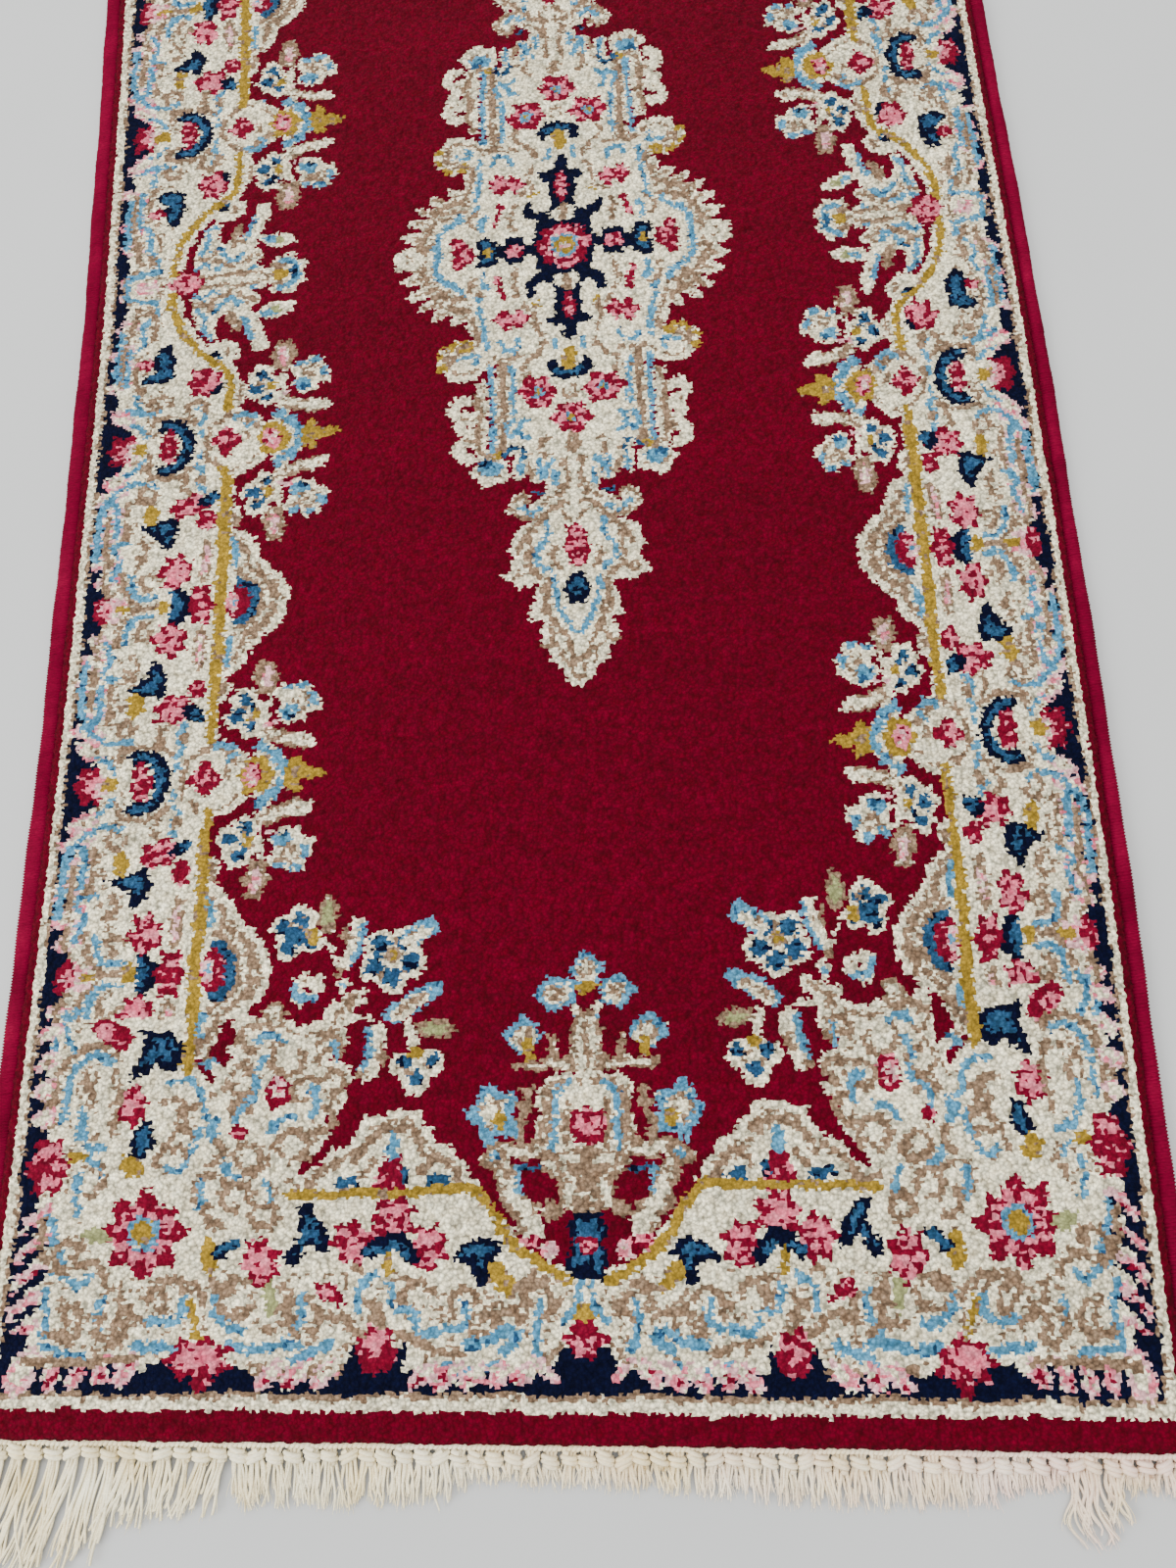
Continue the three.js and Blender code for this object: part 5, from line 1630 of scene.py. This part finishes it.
yarns = whole_rug()
pile = make_pile(yarns)
weave = make_ground_weave(cotton_ground)
edges = [make_edge(f"overcast_edge_{side}", direction, edge_wool)
         for side, direction in (("left", -1), ("right", 1))]
for end, direction in (("near", -1), ("far", 1)):
    make_twining(end, direction, fringe_cotton)
    make_fringe(end, direction, fringe_cotton)

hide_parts("ground_weave")
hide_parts("edge_wrap_left", "edge_core_left")
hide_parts("edge_wrap_right", "edge_core_right")
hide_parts("end_twining_near")
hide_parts("fringe_near")
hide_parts("end_twining_far")
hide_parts("fringe_far")
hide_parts("pile_field", "pile_end_band_near", "pile_end_band_far")
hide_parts("pile_border_left", "pile_border_right", "pile_border_near",
            "pile_border_far", "pile_guard_stripe", "pile_medallion")
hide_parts("pile_guard_ground", "pile_medallion_cross")


# ---- floor, light and camera ------------------------------------------------------------
FLOOR_SIZE = 8  # metres
PALE_GREYS = ((176, 176, 174), (171, 171, 170))
WORLD_COLOR = (0.95, 0.98, 1.0, 1)
WORLD_STRENGTH = 1.15


def make_floor():
    """A plain pale floor, very slightly uneven in tone."""
    bpy.ops.mesh.primitive_plane_add(size=FLOOR_SIZE, location=(0, 0, 0))
    floor = bpy.context.object
    floor.name = "floor"
    material, shader, add, links = new_material("floor_paint")
    where = add("ShaderNodeTexCoord").outputs["Object"]
    tone = scaled(add, noise(add, where, 3, 3.0), 0.97, 1.03)
    links.new(brightened(add, *PALE_GREYS, 0.5, tone), shader.inputs["Base Color"])
    shader.inputs["Roughness"].default_value = 0.85
    floor.data.materials.append(material)
    return floor


floor = make_floor()


def add_light(name, energy, size, place):
    """A square soft light, aimed at the middle of the rug."""
    data = bpy.data.lights.new(name, "AREA")
    data.energy = energy
    data.size = size
    light = bpy.data.objects.new(name, data)
    bpy.context.scene.collection.objects.link(light)
    light.location = place
    light.rotation_euler = (-Vector(place)).to_track_quat("-Z", "Y").to_euler()


add_light("overhead", energy=150, size=3.2, place=(0.4, 0.6, 3.2))
add_light("side", energy=120, size=2.2, place=(-2.4, -1.2, 2.0))

world = bpy.data.worlds.new("studio")
bpy.context.scene.world = world
world.use_nodes = True
world.node_tree.nodes["Background"].inputs["Color"].default_value = WORLD_COLOR
world.node_tree.nodes["Background"].inputs["Strength"].default_value = WORLD_STRENGTH

SENSOR = 36
LENS = 27.05  # for the assumed focal length, 0.751 of the photo's height
CAMERA_PLACE = (0.0768, -0.6219, 0.7239)
CAMERA_TARGET = (0.0258, -0.4072, 0.0)
CAMERA_ROLL = math.radians(-16.81)
camera_data = bpy.data.cameras.new("camera")
camera_data.sensor_fit = "VERTICAL"
camera_data.sensor_height = SENSOR
camera_data.lens = LENS
camera = bpy.data.objects.new("camera", camera_data)
bpy.context.scene.collection.objects.link(camera)
shift = Vector((SHIFT_X, SHIFT_Y, 0))
camera.location = Vector(CAMERA_PLACE) + shift
aim = (Vector(CAMERA_TARGET) - Vector(CAMERA_PLACE)).to_track_quat("-Z", "Y")
camera.rotation_euler = (aim.to_matrix() @ Matrix.Rotation(CAMERA_ROLL, 3, "Z")).to_euler()
bpy.context.scene.camera = camera
